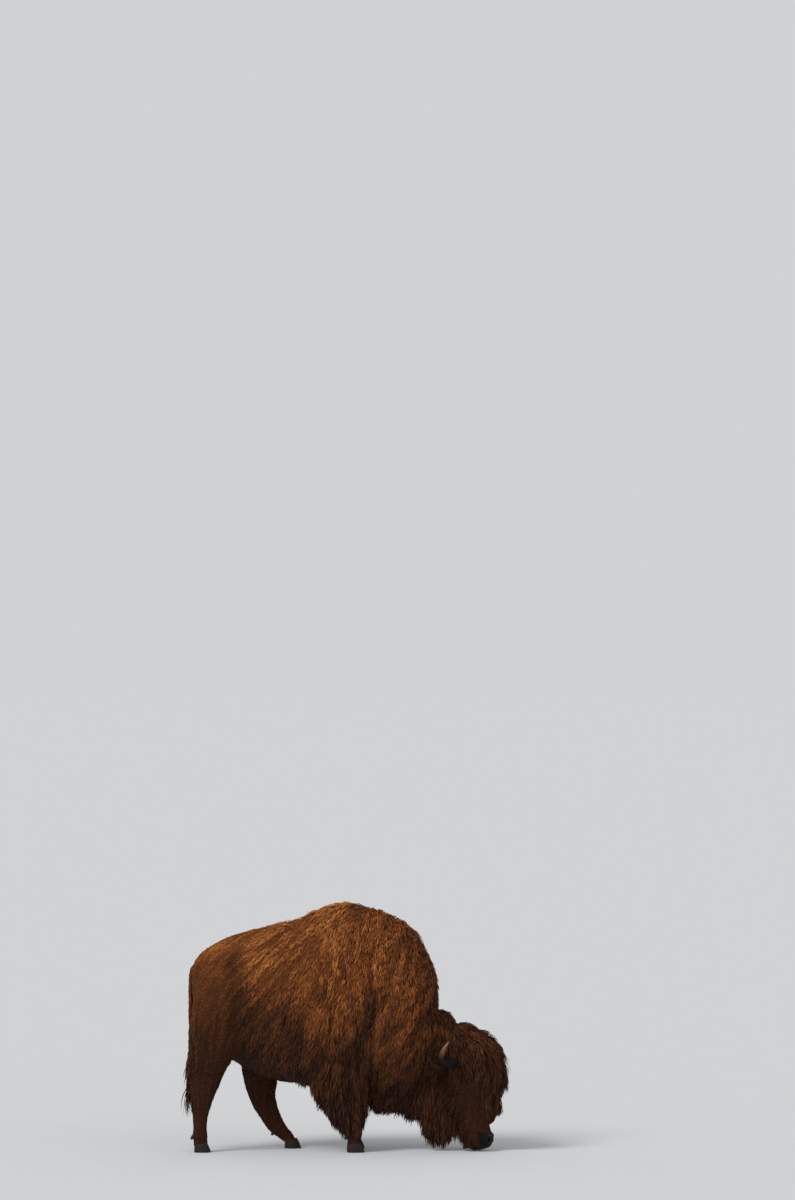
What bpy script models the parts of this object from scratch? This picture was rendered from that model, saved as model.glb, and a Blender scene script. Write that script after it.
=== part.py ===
"""A life-size model of a grazing American bison bull, out to the tips of its winter coat.

The body is modelled whole. Rings are lofted along the trunk, head and legs and rounded masses
added for the muscles, each as deep as the body and its coat together. Masses of hanging hair
come next: the forelock, beard, mane and the long hair of the forelegs. All are made one
surface, and thin cuts part it into trunk, neck, head, beard and legs. Horns, ears, eyes,
tail and hooves are made apart and let into it.
Metres, +X forward, +Y to the animal's left, +Z up.
"""

import math
from collections import namedtuple

import bmesh
import bpy
from mathutils import Euler, Matrix, Vector

# Driving dimensions
LEG_SPREAD = 0.165          # middle of the body to the middle of a leg
HORN_REACH = 0.315          # middle of the head to the outside of a horn
HORN_RADIUS = 0.043
EAR_LENGTH = 0.15
EYE_RADIUS = 0.0195
HOOF_HEIGHT = 0.066
GAP = 0.0004                # between neighbouring solids
VOXEL = 0.016               # grain of the surface before it is thinned out
FACES_KEPT = 3850           # of the whole body before it is parted
SIDES = {"left": 1, "right": -1}

# Where the head is carried: the poll, how far the face leans back, and its turn to the right
POLL = Vector((0.804, -0.020, 0.704))
HEAD_PITCH = math.radians(-11)
HEAD_TURN = math.radians(-18)

# Colour of coat, horn and hoof, with roughness
MATERIALS = {
    "cape_hair": ((0.19, 0.075, 0.026), 0.80),
    "dark_hair": ((0.028, 0.012, 0.006), 0.80),
    "leg_hair": ((0.034, 0.015, 0.008), 0.75),
    "horn": ((0.030, 0.026, 0.022), 0.40),
    "hoof": ((0.018, 0.015, 0.013), 0.50),
    "eye": ((0.010, 0.006, 0.004), 0.05),
}

# A section across the trunk: its place along the body, top, underside, half its width, how
# much it is pinched in above and below, and the depth of coat over it.
TrunkRing = namedtuple("TrunkRing", "x top low half pinch_top pinch_low coat")
TRUNK = (
    TrunkRing(-1.112, 1.285, 1.130, 0.050, 0.0, 0.0, 0.010),
    TrunkRing(-1.082, 1.365, 0.930, 0.150, 0.0, 0.1, 0.010),
    TrunkRing(-1.000, 1.440, 0.760, 0.218, 0.1, 0.1, 0.012),
    TrunkRing(-0.860, 1.512, 0.640, 0.250, 0.1, 0.1, 0.014),
    TrunkRing(-0.680, 1.566, 0.560, 0.258, 0.1, 0.0, 0.018),
    TrunkRing(-0.480, 1.608, 0.500, 0.278, 0.1, 0.0, 0.024),
    TrunkRing(-0.345, 1.640, 0.488, 0.290, 0.2, 0.1, 0.028),
    TrunkRing(-0.240, 1.684, 0.482, 0.298, 0.3, 0.2, 0.042),
    TrunkRing(-0.120, 1.722, 0.474, 0.304, 0.35, 0.2, 0.050),
    TrunkRing(0.010, 1.738, 0.460, 0.308, 0.4, 0.3, 0.052),
    TrunkRing(0.130, 1.718, 0.430, 0.304, 0.4, 0.4, 0.054),
    TrunkRing(0.246, 1.660, 0.390, 0.290, 0.35, 0.45, 0.056),
    TrunkRing(0.370, 1.586, 0.350, 0.266, 0.3, 0.45, 0.058),
    TrunkRing(0.467, 1.494, 0.350, 0.236, 0.25, 0.35, 0.060),
    TrunkRing(0.533, 1.378, 0.430, 0.204, 0.1, 0.1, 0.058),
    TrunkRing(0.588, 1.250, 0.540, 0.164, 0.0, 0.0, 0.055),
    TrunkRing(0.612, 1.120, 0.660, 0.110, 0.0, 0.0, 0.045),
)

# A level section across a leg: height, foremost and rearmost point, half its width, its
# middle's distance outside the leg's own line, and the depth of coat over it.
LegRing = namedtuple("LegRing", "z fore aft half out coat")
FORELEG = (
    LegRing(0.860, 0.120, -0.120, 0.060, 0.020, 0.030),
    LegRing(0.780, 0.150, -0.190, 0.100, 0.015, 0.030),
    LegRing(0.660, 0.132, -0.190, 0.092, 0.010, 0.028),
    LegRing(0.550, 0.116, -0.125, 0.078, 0.005, 0.022),
    LegRing(0.450, 0.106, -0.050, 0.064, 0.0, 0.018),
    LegRing(0.375, 0.100, -0.018, 0.056, 0.0, 0.014),
    LegRing(0.310, 0.086, -0.004, 0.044, 0.0, 0.010),
    LegRing(0.235, 0.074, 0.004, 0.036, 0.0, 0.008),
    LegRing(0.170, 0.074, 0.002, 0.038, 0.0, 0.007),
    LegRing(0.122, 0.084, -0.012, 0.048, 0.0, 0.006),
    LegRing(0.086, 0.088, -0.006, 0.048, 0.0, 0.005),
    LegRing(0.050, 0.098, -0.018, 0.054, 0.0, 0.003),
    LegRing(-0.030, 0.106, -0.024, 0.056, 0.0, 0.003),
)
HINDLEG_BACK = (
    LegRing(1.200, -0.820, -1.050, 0.060, 0.010, 0.012),
    LegRing(1.060, -0.760, -1.100, 0.112, 0.010, 0.012),
    LegRing(0.860, -0.762, -1.118, 0.118, 0.010, 0.012),
    LegRing(0.690, -0.812, -1.122, 0.096, 0.004, 0.012),
    LegRing(0.560, -0.884, -1.124, 0.074, 0.0, 0.010),
    LegRing(0.463, -0.928, -1.126, 0.060, 0.0, 0.009),
    LegRing(0.400, -0.956, -1.122, 0.052, 0.0, 0.009),
    LegRing(0.320, -0.984, -1.112, 0.044, 0.0, 0.008),
    LegRing(0.230, -1.004, -1.106, 0.040, 0.0, 0.008),
    LegRing(0.165, -1.008, -1.102, 0.041, 0.0, 0.007),
    LegRing(0.120, -1.002, -1.108, 0.048, 0.0, 0.006),
    LegRing(0.086, -0.998, -1.100, 0.046, 0.0, 0.005),
    LegRing(0.050, -0.988, -1.106, 0.051, 0.0, 0.003),
    LegRing(-0.030, -0.980, -1.112, 0.054, 0.0, 0.003),
)
HINDLEG_FORE = (
    LegRing(1.150, -0.760, -0.980, 0.060, 0.010, 0.012),
    LegRing(1.000, -0.640, -0.980, 0.108, 0.010, 0.012),
    LegRing(0.820, -0.548, -0.890, 0.112, 0.010, 0.012),
    LegRing(0.680, -0.516, -0.800, 0.096, 0.004, 0.012),
    LegRing(0.550, -0.512, -0.764, 0.074, 0.0, 0.010),
    LegRing(0.450, -0.522, -0.744, 0.061, 0.0, 0.009),
    LegRing(0.385, -0.530, -0.724, 0.053, 0.0, 0.009),
    LegRing(0.305, -0.516, -0.690, 0.045, 0.0, 0.008),
    LegRing(0.220, -0.484, -0.638, 0.040, 0.0, 0.008),
    LegRing(0.155, -0.450, -0.596, 0.041, 0.0, 0.007),
    LegRing(0.110, -0.414, -0.554, 0.048, 0.0, 0.006),
    LegRing(0.080, -0.388, -0.516, 0.047, 0.0, 0.005),
    LegRing(0.050, -0.358, -0.474, 0.051, 0.0, 0.003),
    LegRing(-0.030, -0.345, -0.470, 0.054, 0.0, 0.003),
)
# The long hair that hangs from each foreleg
CHAPS = (
    LegRing(0.740, 0.080, -0.190, 0.070, 0.030, 0.0),
    LegRing(0.640, 0.150, -0.285, 0.122, 0.015, 0.0),
    LegRing(0.520, 0.150, -0.330, 0.134, 0.010, 0.0),
    LegRing(0.400, 0.140, -0.308, 0.124, 0.005, 0.0),
    LegRing(0.292, 0.132, -0.232, 0.104, 0.0, 0.0),
    LegRing(0.195, 0.124, -0.158, 0.084, 0.0, 0.0),
    LegRing(0.145, 0.108, -0.108, 0.064, 0.0, 0.0),
    LegRing(0.118, 0.070, -0.060, 0.036, 0.0, 0.0),
)
FEET = {                        # along the body: the middle of the foot, back of the pastern
    "foreleg_left": (0.044, -0.016),
    "foreleg_right": (0.044, -0.016),
    "hindleg_left": (-0.408, -0.544),
    "hindleg_right": (-1.042, -1.107),
}

# A section across the head, square to the face: its distance below the poll, how far the
# face and the jaw stand from the head's line, half its width, and the coat.
HeadRing = namedtuple("HeadRing", "below face jaw half coat")
HEAD = (
    HeadRing(-0.045, 0.010, 0.070, 0.060, 0.030),
    HeadRing(-0.015, 0.070, 0.110, 0.118, 0.030),
    HeadRing(0.060, 0.108, 0.140, 0.140, 0.030),
    HeadRing(0.150, 0.118, 0.160, 0.144, 0.028),
    HeadRing(0.230, 0.118, 0.172, 0.136, 0.025),
    HeadRing(0.320, 0.108, 0.160, 0.112, 0.022),
    HeadRing(0.410, 0.096, 0.130, 0.092, 0.018),
    HeadRing(0.500, 0.094, 0.100, 0.080, 0.014),
    HeadRing(0.570, 0.100, 0.088, 0.080, 0.008),
    HeadRing(0.630, 0.100, 0.084, 0.082, 0.005),
    HeadRing(0.682, 0.078, 0.074, 0.072, 0.004),
    HeadRing(0.707, 0.034, 0.040, 0.042, 0.004),
)

# A rounded mass: its middle, half sizes, lean in the side view, and the coat over it. A
# paired one is put on both sides, a single one where its middle says.
Mass = namedtuple("Mass", "name middle radii lean coat paired")
BODY_MASSES = (
    Mass("shoulder", (0.040, 0.175, 1.020), (0.240, 0.125, 0.400), 0.10, 0.045, True),
    Mass("upper_arm", (-0.010, 0.145, 0.800), (0.215, 0.125, 0.260), -0.20, 0.035, True),
    Mass("ribs", (-0.300, 0.120, 0.920), (0.420, 0.180, 0.400), 0.0, 0.026, True),
    Mass("hip", (-0.860, 0.110, 1.330), (0.170, 0.100, 0.115), 0.25, 0.012, True),
    Mass("thigh_right", (-0.915, -0.150, 1.040), (0.190, 0.125, 0.310), 0.05, 0.012, False),
    Mass("thigh_left", (-0.850, 0.145, 1.020), (0.225, 0.128, 0.320), -0.32, 0.012, False),
    Mass("neck", (0.520, 0.000, 0.780), (0.150, 0.165, 0.360), -0.55, 0.055, False),
    Mass("throat", (0.440, 0.000, 0.600), (0.220, 0.120, 0.220), -0.30, 0.040, False),
)
BODY_HAIR = (
    Mass("throat_mane", (0.470, 0.000, 0.520), (0.255, 0.140, 0.280), -0.15, 0, False),
    Mass("chest_mane", (0.270, 0.000, 0.520), (0.240, 0.145, 0.250), 0.0, 0, False),
    Mass("nape_crest", (0.645, 0.000, 0.920), (0.115, 0.130, 0.105), -0.60, 0, False),
)
HEAD_HAIR = (
    Mass("forelock", (0.100, 0.000, -0.142), (0.196, 0.198, 0.290), 0.0, 0, False),
    Mass("crown", (-0.010, 0.000, 0.056), (0.172, 0.180, 0.178), 0.0, 0, False),
    Mass("brow_fringe", (0.108, 0.000, -0.370), (0.122, 0.112, 0.215), 0.08, 0, False),
    Mass("cheek_hair", (-0.110, 0.090, -0.230), (0.130, 0.085, 0.200), 0.0, 0, True),
)
BEARD = (
    LegRing(0.480, 0.800, 0.500, 0.110, 0.0, 0.0),
    LegRing(0.360, 0.800, 0.470, 0.112, 0.0, 0.0),
    LegRing(0.240, 0.790, 0.478, 0.100, 0.0, 0.0),
    LegRing(0.130, 0.778, 0.508, 0.082, 0.0, 0.0),
    LegRing(0.060, 0.756, 0.545, 0.062, 0.0, 0.0),
    LegRing(0.018, 0.700, 0.600, 0.030, 0.0, 0.0),
)
BEARD_TURN = -0.035             # it hangs from the turned chin


def clear_scene():
    for obj in list(bpy.data.objects):
        bpy.data.objects.remove(obj)


def make_materials():
    made = {}
    for name, (colour, roughness) in MATERIALS.items():
        material = bpy.data.materials.new(name)
        material.use_nodes = True
        shader = material.node_tree.nodes["Principled BSDF"]
        shader.inputs["Base Color"].default_value = (*colour, 1)
        shader.inputs["Roughness"].default_value = roughness
        material.diffuse_color = (*colour, 1)
        made[name] = material
    return made


def add_object(name, mesh_data):
    obj = bpy.data.objects.new(name, mesh_data)
    bpy.context.scene.collection.objects.link(obj)
    return obj


def object_from_bmesh(name, bm):
    bmesh.ops.recalc_face_normals(bm, faces=bm.faces)
    data = bpy.data.meshes.new(name)
    bm.to_mesh(data)
    bm.free()
    return add_object(name, data)


def smooth_between(rows, steps):
    """The rows of numbers with `steps` places per span, on Catmull-Rom curves through them."""
    made = []
    last = len(rows) - 1
    for i in range(last):
        before, start = rows[max(i - 1, 0)], rows[i]
        end, after = rows[i + 1], rows[min(i + 2, last)]
        for step in range(steps):
            t = step / steps
            made.append([
                0.5 * (2 * b + (c - a) * t + (2 * a - 5 * b + 4 * c - d) * t * t
                       + (3 * b - a - 3 * c + d) * t ** 3)
                for a, b, c, d in zip(before, start, end, after)
            ])
    made.append(list(rows[-1]))
    return made


def section(middle, up, side, above, below, half, pinch_top=0.0, pinch_low=0.0, corners=28):
    """The points of an oval whose upper and lower halves differ in depth and in pinch."""
    points = []
    for i in range(corners):
        turn = 2 * math.pi * i / corners
        rise, out = math.sin(turn), math.cos(turn)
        pinch = (pinch_top if rise > 0 else pinch_low) * rise * rise
        depth = above if rise > 0 else below
        points.append(middle + up * (rise * depth) + side * (out * half * (1 - pinch)))
    return points


def loft(name, sections):
    """A closed skin over the sections, capped at both ends."""
    bm = bmesh.new()
    loops = [[bm.verts.new(p) for p in points] for points in sections]
    count = len(loops[0])
    for first, second in zip(loops, loops[1:]):
        for i in range(count):
            j = (i + 1) % count
            bm.faces.new((first[i], first[j], second[j]))
            bm.faces.new((first[i], second[j], second[i]))
    bm.faces.new(loops[0])
    bm.faces.new(loops[-1])
    return object_from_bmesh(name, bm)


def level_loft(name, rings, line):
    """A loft of level sections about a line at Y = `line`; `out` is away from the middle."""
    away = 1 if line >= 0 else -1
    sections = []
    for z, fore, aft, half, out, coat in smooth_between(rings, 4):
        middle = Vector(((fore + aft) / 2, line + away * out, z))
        depth = (fore - aft) / 2 + coat
        sections.append(section(middle, Vector((1, 0, 0)), Vector((0, 1, 0)),
                                depth, depth, half + coat))
    return loft(name, sections)


def make_trunk():
    sections = []
    for x, top, low, half, pinch_top, pinch_low, coat in smooth_between(TRUNK, 4):
        waist = low + 0.46 * (top - low)
        sections.append(section(Vector((x, 0, waist)), Vector((0, 0, 1)), Vector((0, 1, 0)),
                                top - waist + coat, waist - low + coat, half + coat,
                                pinch_top, pinch_low))
    return loft("trunk_form", sections)


def make_head():
    """The head upright in its own frame: X out of the face, Z up through the poll."""
    sections = []
    for below, face, jaw, half, coat in smooth_between(HEAD, 4):
        sections.append(section(Vector((0, 0, -below)), Vector((1, 0, 0)), Vector((0, 1, 0)),
                                face + coat, jaw + coat, half + coat))
    return loft("head_form", sections)


def head_frame():
    """Carries the head's own frame to where the head is held."""
    turned = Euler((0, HEAD_PITCH, HEAD_TURN), "XYZ").to_matrix().to_4x4()
    return Matrix.Translation(POLL) @ turned


def add_mass(mass, side, frame):
    """One ellipsoid; `side` is -1 for the mirrored one of a pair."""
    bm = bmesh.new()
    bmesh.ops.create_uvsphere(bm, u_segments=28, v_segments=18, radius=1.0)
    x, y, z = mass.middle
    place = Matrix.Translation((x, y * side, z)) @ Matrix.Rotation(mass.lean, 4, "Y")
    size = [radius + mass.coat for radius in mass.radii]
    bm.transform(frame @ place @ Matrix.Diagonal((*size, 1)))
    return object_from_bmesh(mass.name, bm)


def all_masses(masses, frame):
    return [add_mass(mass, side, frame)
            for mass in masses for side in ((1, -1) if mass.paired else (1,))]


def join(name, objects):
    """One mesh object that holds the meshes of all these objects, which it replaces."""
    bm = bmesh.new()
    for obj in objects:
        obj.data.transform(obj.matrix_world)
        bm.from_mesh(obj.data)
        bpy.data.objects.remove(obj)
    data = bpy.data.meshes.new(name)
    bm.to_mesh(data)
    bm.free()
    return add_object(name, data)


def with_modifiers_applied(obj):
    """The object with its mesh as its modifiers leave it."""
    graph = bpy.context.evaluated_depsgraph_get()
    data = bpy.data.meshes.new_from_object(obj.evaluated_get(graph))
    obj.modifiers.clear()
    obj.data = data
    return obj


def make_body():
    """Every lofted form and mass as one surface, smoothed and thinned out."""
    at_head = head_frame()
    head = make_head()
    head.matrix_world = at_head
    forms = [
        make_trunk(),
        head,
        level_loft("foreleg_left_form", FORELEG, LEG_SPREAD),
        level_loft("foreleg_right_form", FORELEG, -LEG_SPREAD),
        level_loft("hindleg_left_form", HINDLEG_FORE, LEG_SPREAD),
        level_loft("hindleg_right_form", HINDLEG_BACK, -LEG_SPREAD),
        level_loft("chaps_left_form", CHAPS, LEG_SPREAD),
        level_loft("chaps_right_form", CHAPS, -LEG_SPREAD),
        level_loft("beard_form", BEARD, BEARD_TURN),
        *all_masses(BODY_MASSES, Matrix.Identity(4)),
        *all_masses(BODY_HAIR, Matrix.Identity(4)),
        *all_masses(HEAD_HAIR, at_head),
    ]
    bpy.context.view_layer.update()
    body = join("body", forms)
    remesh = body.modifiers.new("one_surface", "REMESH")
    remesh.mode = "VOXEL"
    remesh.voxel_size = VOXEL
    soften = body.modifiers.new("soften", "SMOOTH")
    soften.factor = 0.5
    soften.iterations = 6
    with_modifiers_applied(body)
    thin_out = body.modifiers.new("thin_out", "DECIMATE")
    thin_out.ratio = min(1.0, FACES_KEPT / (2 * len(body.data.polygons)))
    return with_modifiers_applied(body)


def as_cutter(obj):
    obj.hide_render = True
    obj.display_type = "WIRE"
    return obj


def block(name, low, high, turn=(0, 0, 0), pivot=(0, 0, 0)):
    """A hidden cutting block between two corners, turned about a point."""
    bm = bmesh.new()
    bmesh.ops.create_cube(bm, size=1)
    size = [h - l for l, h in zip(low, high)]
    middle = [(h + l) / 2 for l, h in zip(low, high)]
    bm.transform(Matrix.Translation(middle) @ Matrix.Diagonal((*size, 1)))
    about = Matrix.Translation(pivot)
    bm.transform(about @ Euler(turn).to_matrix().to_4x4() @ about.inverted())
    return as_cutter(object_from_bmesh(name, bm))


def cut(obj, cutter, operation):
    boolean = obj.modifiers.new(operation.lower(), "BOOLEAN")
    boolean.operation = operation
    boolean.solver = "EXACT"
    boolean.object = cutter
    return with_modifiers_applied(obj)


def let_in(body, hollow):
    """Cuts the hollow out of the body for a piece that is a little smaller."""
    cut(body, as_cutter(hollow), "DIFFERENCE")
    bpy.data.objects.remove(hollow)


def part_off(body, name, low, high, turn=(0, 0, 0), pivot=(0, 0, 0)):
    """Takes what lies in the block out of the body as an object of its own, a gap away."""
    inner = block(f"{name}_block", low, high, turn, pivot)
    wider = [value - GAP for value in low], [value + GAP for value in high]
    outer = block(f"{name}_outer_block", *wider, turn, pivot)
    piece = cut(add_object(name, body.data.copy()), inner, "INTERSECT")
    cut(body, outer, "DIFFERENCE")
    for cutter in (inner, outer):
        bpy.data.objects.remove(cutter)
    return piece


def tapered_tube(name, points, radii, corners=10, flatten=1.0, flat_axis=Vector((0, 1, 0)),
                 steps=3):
    """A tube through the points with round or flattened sections and closed ends."""
    rows = smooth_between([(*p, r) for p, r in zip(points, radii)], steps)
    sections = []
    for i, (*place, radius) in enumerate(rows):
        ahead = Vector(rows[min(i + 1, len(rows) - 1)][:3])
        behind = Vector(rows[max(i - 1, 0)][:3])
        along = (ahead - behind).normalized()
        side = (flat_axis - along * flat_axis.dot(along)).normalized()
        sections.append(section(Vector(place), along.cross(side), side, radius, radius,
                                radius * flatten, corners=corners))
    return loft(name, sections)


def make_horn(name, side, frame, grown=0.0):
    """Out from beside the poll, then up and a little forward to a blunt tip."""
    reach = HORN_REACH
    path = [
        (-0.010, 0.30 * reach - grown, -0.058),
        (-0.020, 0.50 * reach, -0.064),
        (-0.046, 0.74 * reach, -0.062),
        (-0.062, 0.94 * reach, -0.030),
        (-0.036, 1.00 * reach, 0.030),
        (0.012, 0.96 * reach, 0.086),
    ]
    radii = [HORN_RADIUS * share + grown for share in (1.0, 1.0, 0.84, 0.64, 0.40, 0.13)]
    points = [frame @ Vector((x, y * side, z)) for x, y, z in path]
    return tapered_tube(name, points, radii, corners=10, steps=2,
                        flat_axis=frame.to_3x3() @ Vector((1, 0, 0)))


def make_ear(name, side, frame, grown=0.0):
    """A leaf that stands out behind the horn, thin and cupped."""
    length = EAR_LENGTH
    path = [
        (-0.095, 0.120 - grown, -0.085),
        (-0.112, 0.120 + 0.33 * length, -0.075),
        (-0.136, 0.120 + 0.66 * length, -0.052),
        (-0.160, 0.120 + 0.94 * length, -0.018),
        (-0.172, 0.120 + 1.08 * length, 0.008),
    ]
    radii = [share * length + grown for share in (0.16, 0.28, 0.30, 0.20, 0.05)]
    points = [frame @ Vector((x, y * side, z)) for x, y, z in path]
    flat_axis = frame.to_3x3() @ Vector((0.80, 0.35 * side, 0.30))
    return tapered_tube(name, points, radii, corners=8, flatten=0.40,
                        flat_axis=flat_axis.normalized(), steps=2)


def ball(name, middle, radius, grain=12):
    bm = bmesh.new()
    bmesh.ops.create_uvsphere(bm, u_segments=grain, v_segments=grain * 2 // 3, radius=radius)
    bm.transform(Matrix.Translation(middle))
    return object_from_bmesh(name, bm)


def eye_place(side, out=0.0):
    """The middle of an eyeball, or a place further out on the same line."""
    return head_frame() @ Vector((0.058 + 0.4 * out, side * (0.132 + out), -0.222))


def make_claw(name, middle, toe_side, length, width):
    """One half of a cloven hoof: flat-soled, pointed and steep in front, low at the heel."""
    x, y = middle
    sections = []
    for rise, long, wide, back in ((0, 1.0, 1.0, 0.0), (0.5, 0.94, 1.0, 0.032),
                                   (1.0, 0.80, 0.84, 0.085)):
        points = []
        for i in range(12):
            turn = 2 * math.pi * i / 12
            along, across = math.cos(turn), math.sin(turn)
            outward = across > 0
            breadth = (1.0 if outward else 0.72) * (1 - 0.30 * max(0.0, along))
            points.append(Vector((
                x + length * (0.5 * long * along - back),
                y + toe_side * width * (0.5 * wide * across * breadth),
                HOOF_HEIGHT * rise,
            )))
        sections.append(points)
    return loft(name, sections)


def grow_dewclaw(body, back, line, toe_side):
    """A stub of horn that stands out behind the fetlock, grown from the leg."""
    path = [
        Vector((back + 0.028, line + toe_side * 0.019, 0.124)),
        Vector((back + 0.004, line + toe_side * 0.023, 0.111)),
        Vector((back - 0.011, line + toe_side * 0.024, 0.092)),
    ]
    stub = as_cutter(tapered_tube("dewclaw", path, (0.012, 0.013, 0.006), corners=6, steps=1))
    cut(body, stub, "UNION")
    bpy.data.objects.remove(stub)


def make_feet(leg, body):
    """The two hoof claws of one leg, with its two dewclaws left on the leg."""
    side = SIDES[leg.split("_")[1]]
    (middle, back), line = FEET[leg], LEG_SPREAD * side
    length, width = (0.126, 0.060) if leg.startswith("foreleg") else (0.118, 0.056)
    let_in(body, block("foot", (middle - 0.12, line - 0.10, -0.20),
                       (middle + 0.12, line + 0.10, HOOF_HEIGHT + GAP)))
    made = []
    for where, toe_side in (("inner", -side), ("outer", side)):
        place = (middle + 0.006, line + toe_side * (width * 0.36 + 0.0028))
        made.append(make_claw(f"hoof_{leg}_{where}", place, toe_side, length, width))
        grow_dewclaw(body, back, line, toe_side)
    return made


def make_tail_root(name, grown=0.0):
    """The thin tail, hanging straight from the rump."""
    path = [
        (-1.090, 0, 1.325 + grown),
        (-1.112, 0, 1.275),
        (-1.126, 0, 1.120),
        (-1.130, 0, 0.880),
        (-1.130, 0, 0.620),
    ]
    radii = [radius + grown for radius in (0.020, 0.026, 0.020, 0.016, 0.016)]
    return tapered_tube(name, [Vector(p) for p in path], radii, corners=8)


def make_tail_tuft():
    path = [
        (-1.130, 0, 0.620 - GAP),
        (-1.131, 0, 0.520),
        (-1.134, 0, 0.400),
        (-1.137, 0, 0.310),
        (-1.138, 0, 0.240),
    ]
    return tapered_tube("tail_tuft", [Vector(p) for p in path],
                        (0.016, 0.026, 0.031, 0.029, 0.006), corners=8)


def largest_piece(obj):
    """Drops slivers that a cut leaves apart from the object's main body."""
    bm = bmesh.new()
    bm.from_mesh(obj.data)
    left = set(bm.verts)
    groups = []
    while left:
        group, todo = set(), [left.pop()]
        while todo:
            vert = todo.pop()
            group.add(vert)
            for edge in vert.link_edges:
                other = edge.other_vert(vert)
                if other in left:
                    left.remove(other)
                    todo.append(other)
        groups.append(group)
    groups.sort(key=len)
    for group in groups[:-1]:
        bmesh.ops.delete(bm, geom=list(group), context="VERTS")
    bm.to_mesh(obj.data)
    bm.free()


def part_body(body):
    """Thin cuts that part the legs, beard, head and neck from the trunk."""
    far = 2.0
    cut(body, block("above_ground", (-far, -far, 0), (far, far, far)), "INTERSECT")
    pieces = []
    for leg, side in (("foreleg_left", 1), ("foreleg_right", -1)):
        near, away = sorted((0.030 * side, 0.5 * side))
        pieces.append(part_off(body, leg, (-0.345, near, -0.20),
                               (0.158, away, 0.400)))
    for leg, side, front, top, lean in (("hindleg_left", 1, -0.530, 0.600, -0.45),
                                        ("hindleg_right", -1, -0.780, 0.660, 0.15)):
        near, away = sorted((0.030 * side, 0.5 * side))
        pieces.append(part_off(body, leg, (-1.40, near, -0.60), (front, away, top),
                               (0, lean, 0), (front, 0, top)))
    pieces.append(part_off(body, "beard", (0.38, -0.25, -0.10), (0.765, 0.25, 0.300),
                           (0, 0.10, 0), (0.60, 0, 0.28)))
    pieces.append(part_off(body, "head", (0.655, -0.5, -0.50), (far, 0.5, 1.30),
                           (0, -0.04, 0), (0.655, 0, 0.70)))
    pieces.append(part_off(body, "neck", (0.40, -0.6, -0.50), (far, 0.6, 2.20),
                           (0, 0.42, 0), (0.40, 0, 0.90)))
    body.name = "trunk"
    pieces.append(body)
    for piece in pieces:
        largest_piece(piece)
    return pieces


def stand_on_origin(objects):
    """Moves everything so that the origin is under the middle of the whole box."""
    corners = [vert.co for obj in objects for vert in obj.data.vertices]
    middle_x = (min(c.x for c in corners) + max(c.x for c in corners)) / 2
    middle_y = (min(c.y for c in corners) + max(c.y for c in corners)) / 2
    for obj in objects:
        obj.data.transform(Matrix.Translation((-middle_x, -middle_y, 0)))


def look_of(name):
    """The material name for a node."""
    if name in ("trunk", "neck"):
        return "cape_hair"
    for start, look in (("horn", "horn"), ("hoof", "hoof"), ("eye", "eye"),
                        ("foreleg", "leg_hair"), ("hindleg", "leg_hair")):
        if name.startswith(start):
            return look
    return "dark_hair"


def finish(objects, materials):
    for obj in objects:
        obj.data.materials.clear()
        obj.data.materials.append(materials[look_of(obj.name)])
        obj.data.shade_smooth()
        obj.data.set_sharp_from_angle(angle=math.radians(50))
    for obj in list(bpy.data.objects):
        if obj.hide_render:
            bpy.data.objects.remove(obj)


def main():
    clear_scene()
    materials = make_materials()
    body = make_body()
    frame = head_frame()
    let_in(body, make_tail_root("tail_hollow", GAP * 3))
    made = [make_tail_root("tail"), make_tail_tuft()]
    for name, side in SIDES.items():
        let_in(body, make_horn("horn_hollow", side, frame, GAP * 2))
        let_in(body, make_ear("ear_hollow", side, frame, GAP * 3))
        let_in(body, ball("eye_recess", eye_place(side, 0.034), 0.036))
        let_in(body, ball("eye_socket", eye_place(side), EYE_RADIUS + GAP * 2))
        made.append(make_horn(f"horn_{name}", side, frame))
        made.append(make_ear(f"ear_{name}", side, frame))
        made.append(ball(f"eye_{name}", eye_place(side), EYE_RADIUS))
    for leg in FEET:
        made += make_feet(leg, body)
    made += part_body(body)
    stand_on_origin(made)
    finish(made, materials)


main()
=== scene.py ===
"""Looks of a life-size American bison bull in its winter coat.

One skin covers the body under the coat. Locks of hair, each a thin closed solid, grow from the
skin along the lie of the coat, up to the outline of the CAD solids. Horns, hooves, dewclaws,
eyes and lids are modelled apart. Metres, +X forward, +Y to the animal's left, +Z up.
"""

import math
from collections import namedtuple
from functools import partial

import bmesh
import bpy
import numpy as np
from mathutils import Euler, Matrix, Vector, kdtree


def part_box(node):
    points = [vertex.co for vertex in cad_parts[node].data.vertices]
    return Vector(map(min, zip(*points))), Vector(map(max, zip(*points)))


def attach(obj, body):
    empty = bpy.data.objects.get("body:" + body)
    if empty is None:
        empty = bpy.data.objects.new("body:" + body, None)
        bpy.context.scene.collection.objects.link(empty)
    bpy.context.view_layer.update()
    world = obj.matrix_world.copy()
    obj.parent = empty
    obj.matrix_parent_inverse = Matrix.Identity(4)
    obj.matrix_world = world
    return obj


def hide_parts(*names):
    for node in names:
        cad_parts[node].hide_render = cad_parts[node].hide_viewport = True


bl_info = {
    "name": "Bison looks",
    "version": (1, 0, 0),
    "blender": (4, 5, 0),
    "location": "3D View > Sidebar > Bison",
    "description": "Skin, coat, horns, hooves, eyes and studio of a life-size bison bull",
    "category": "Object",
}

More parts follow.
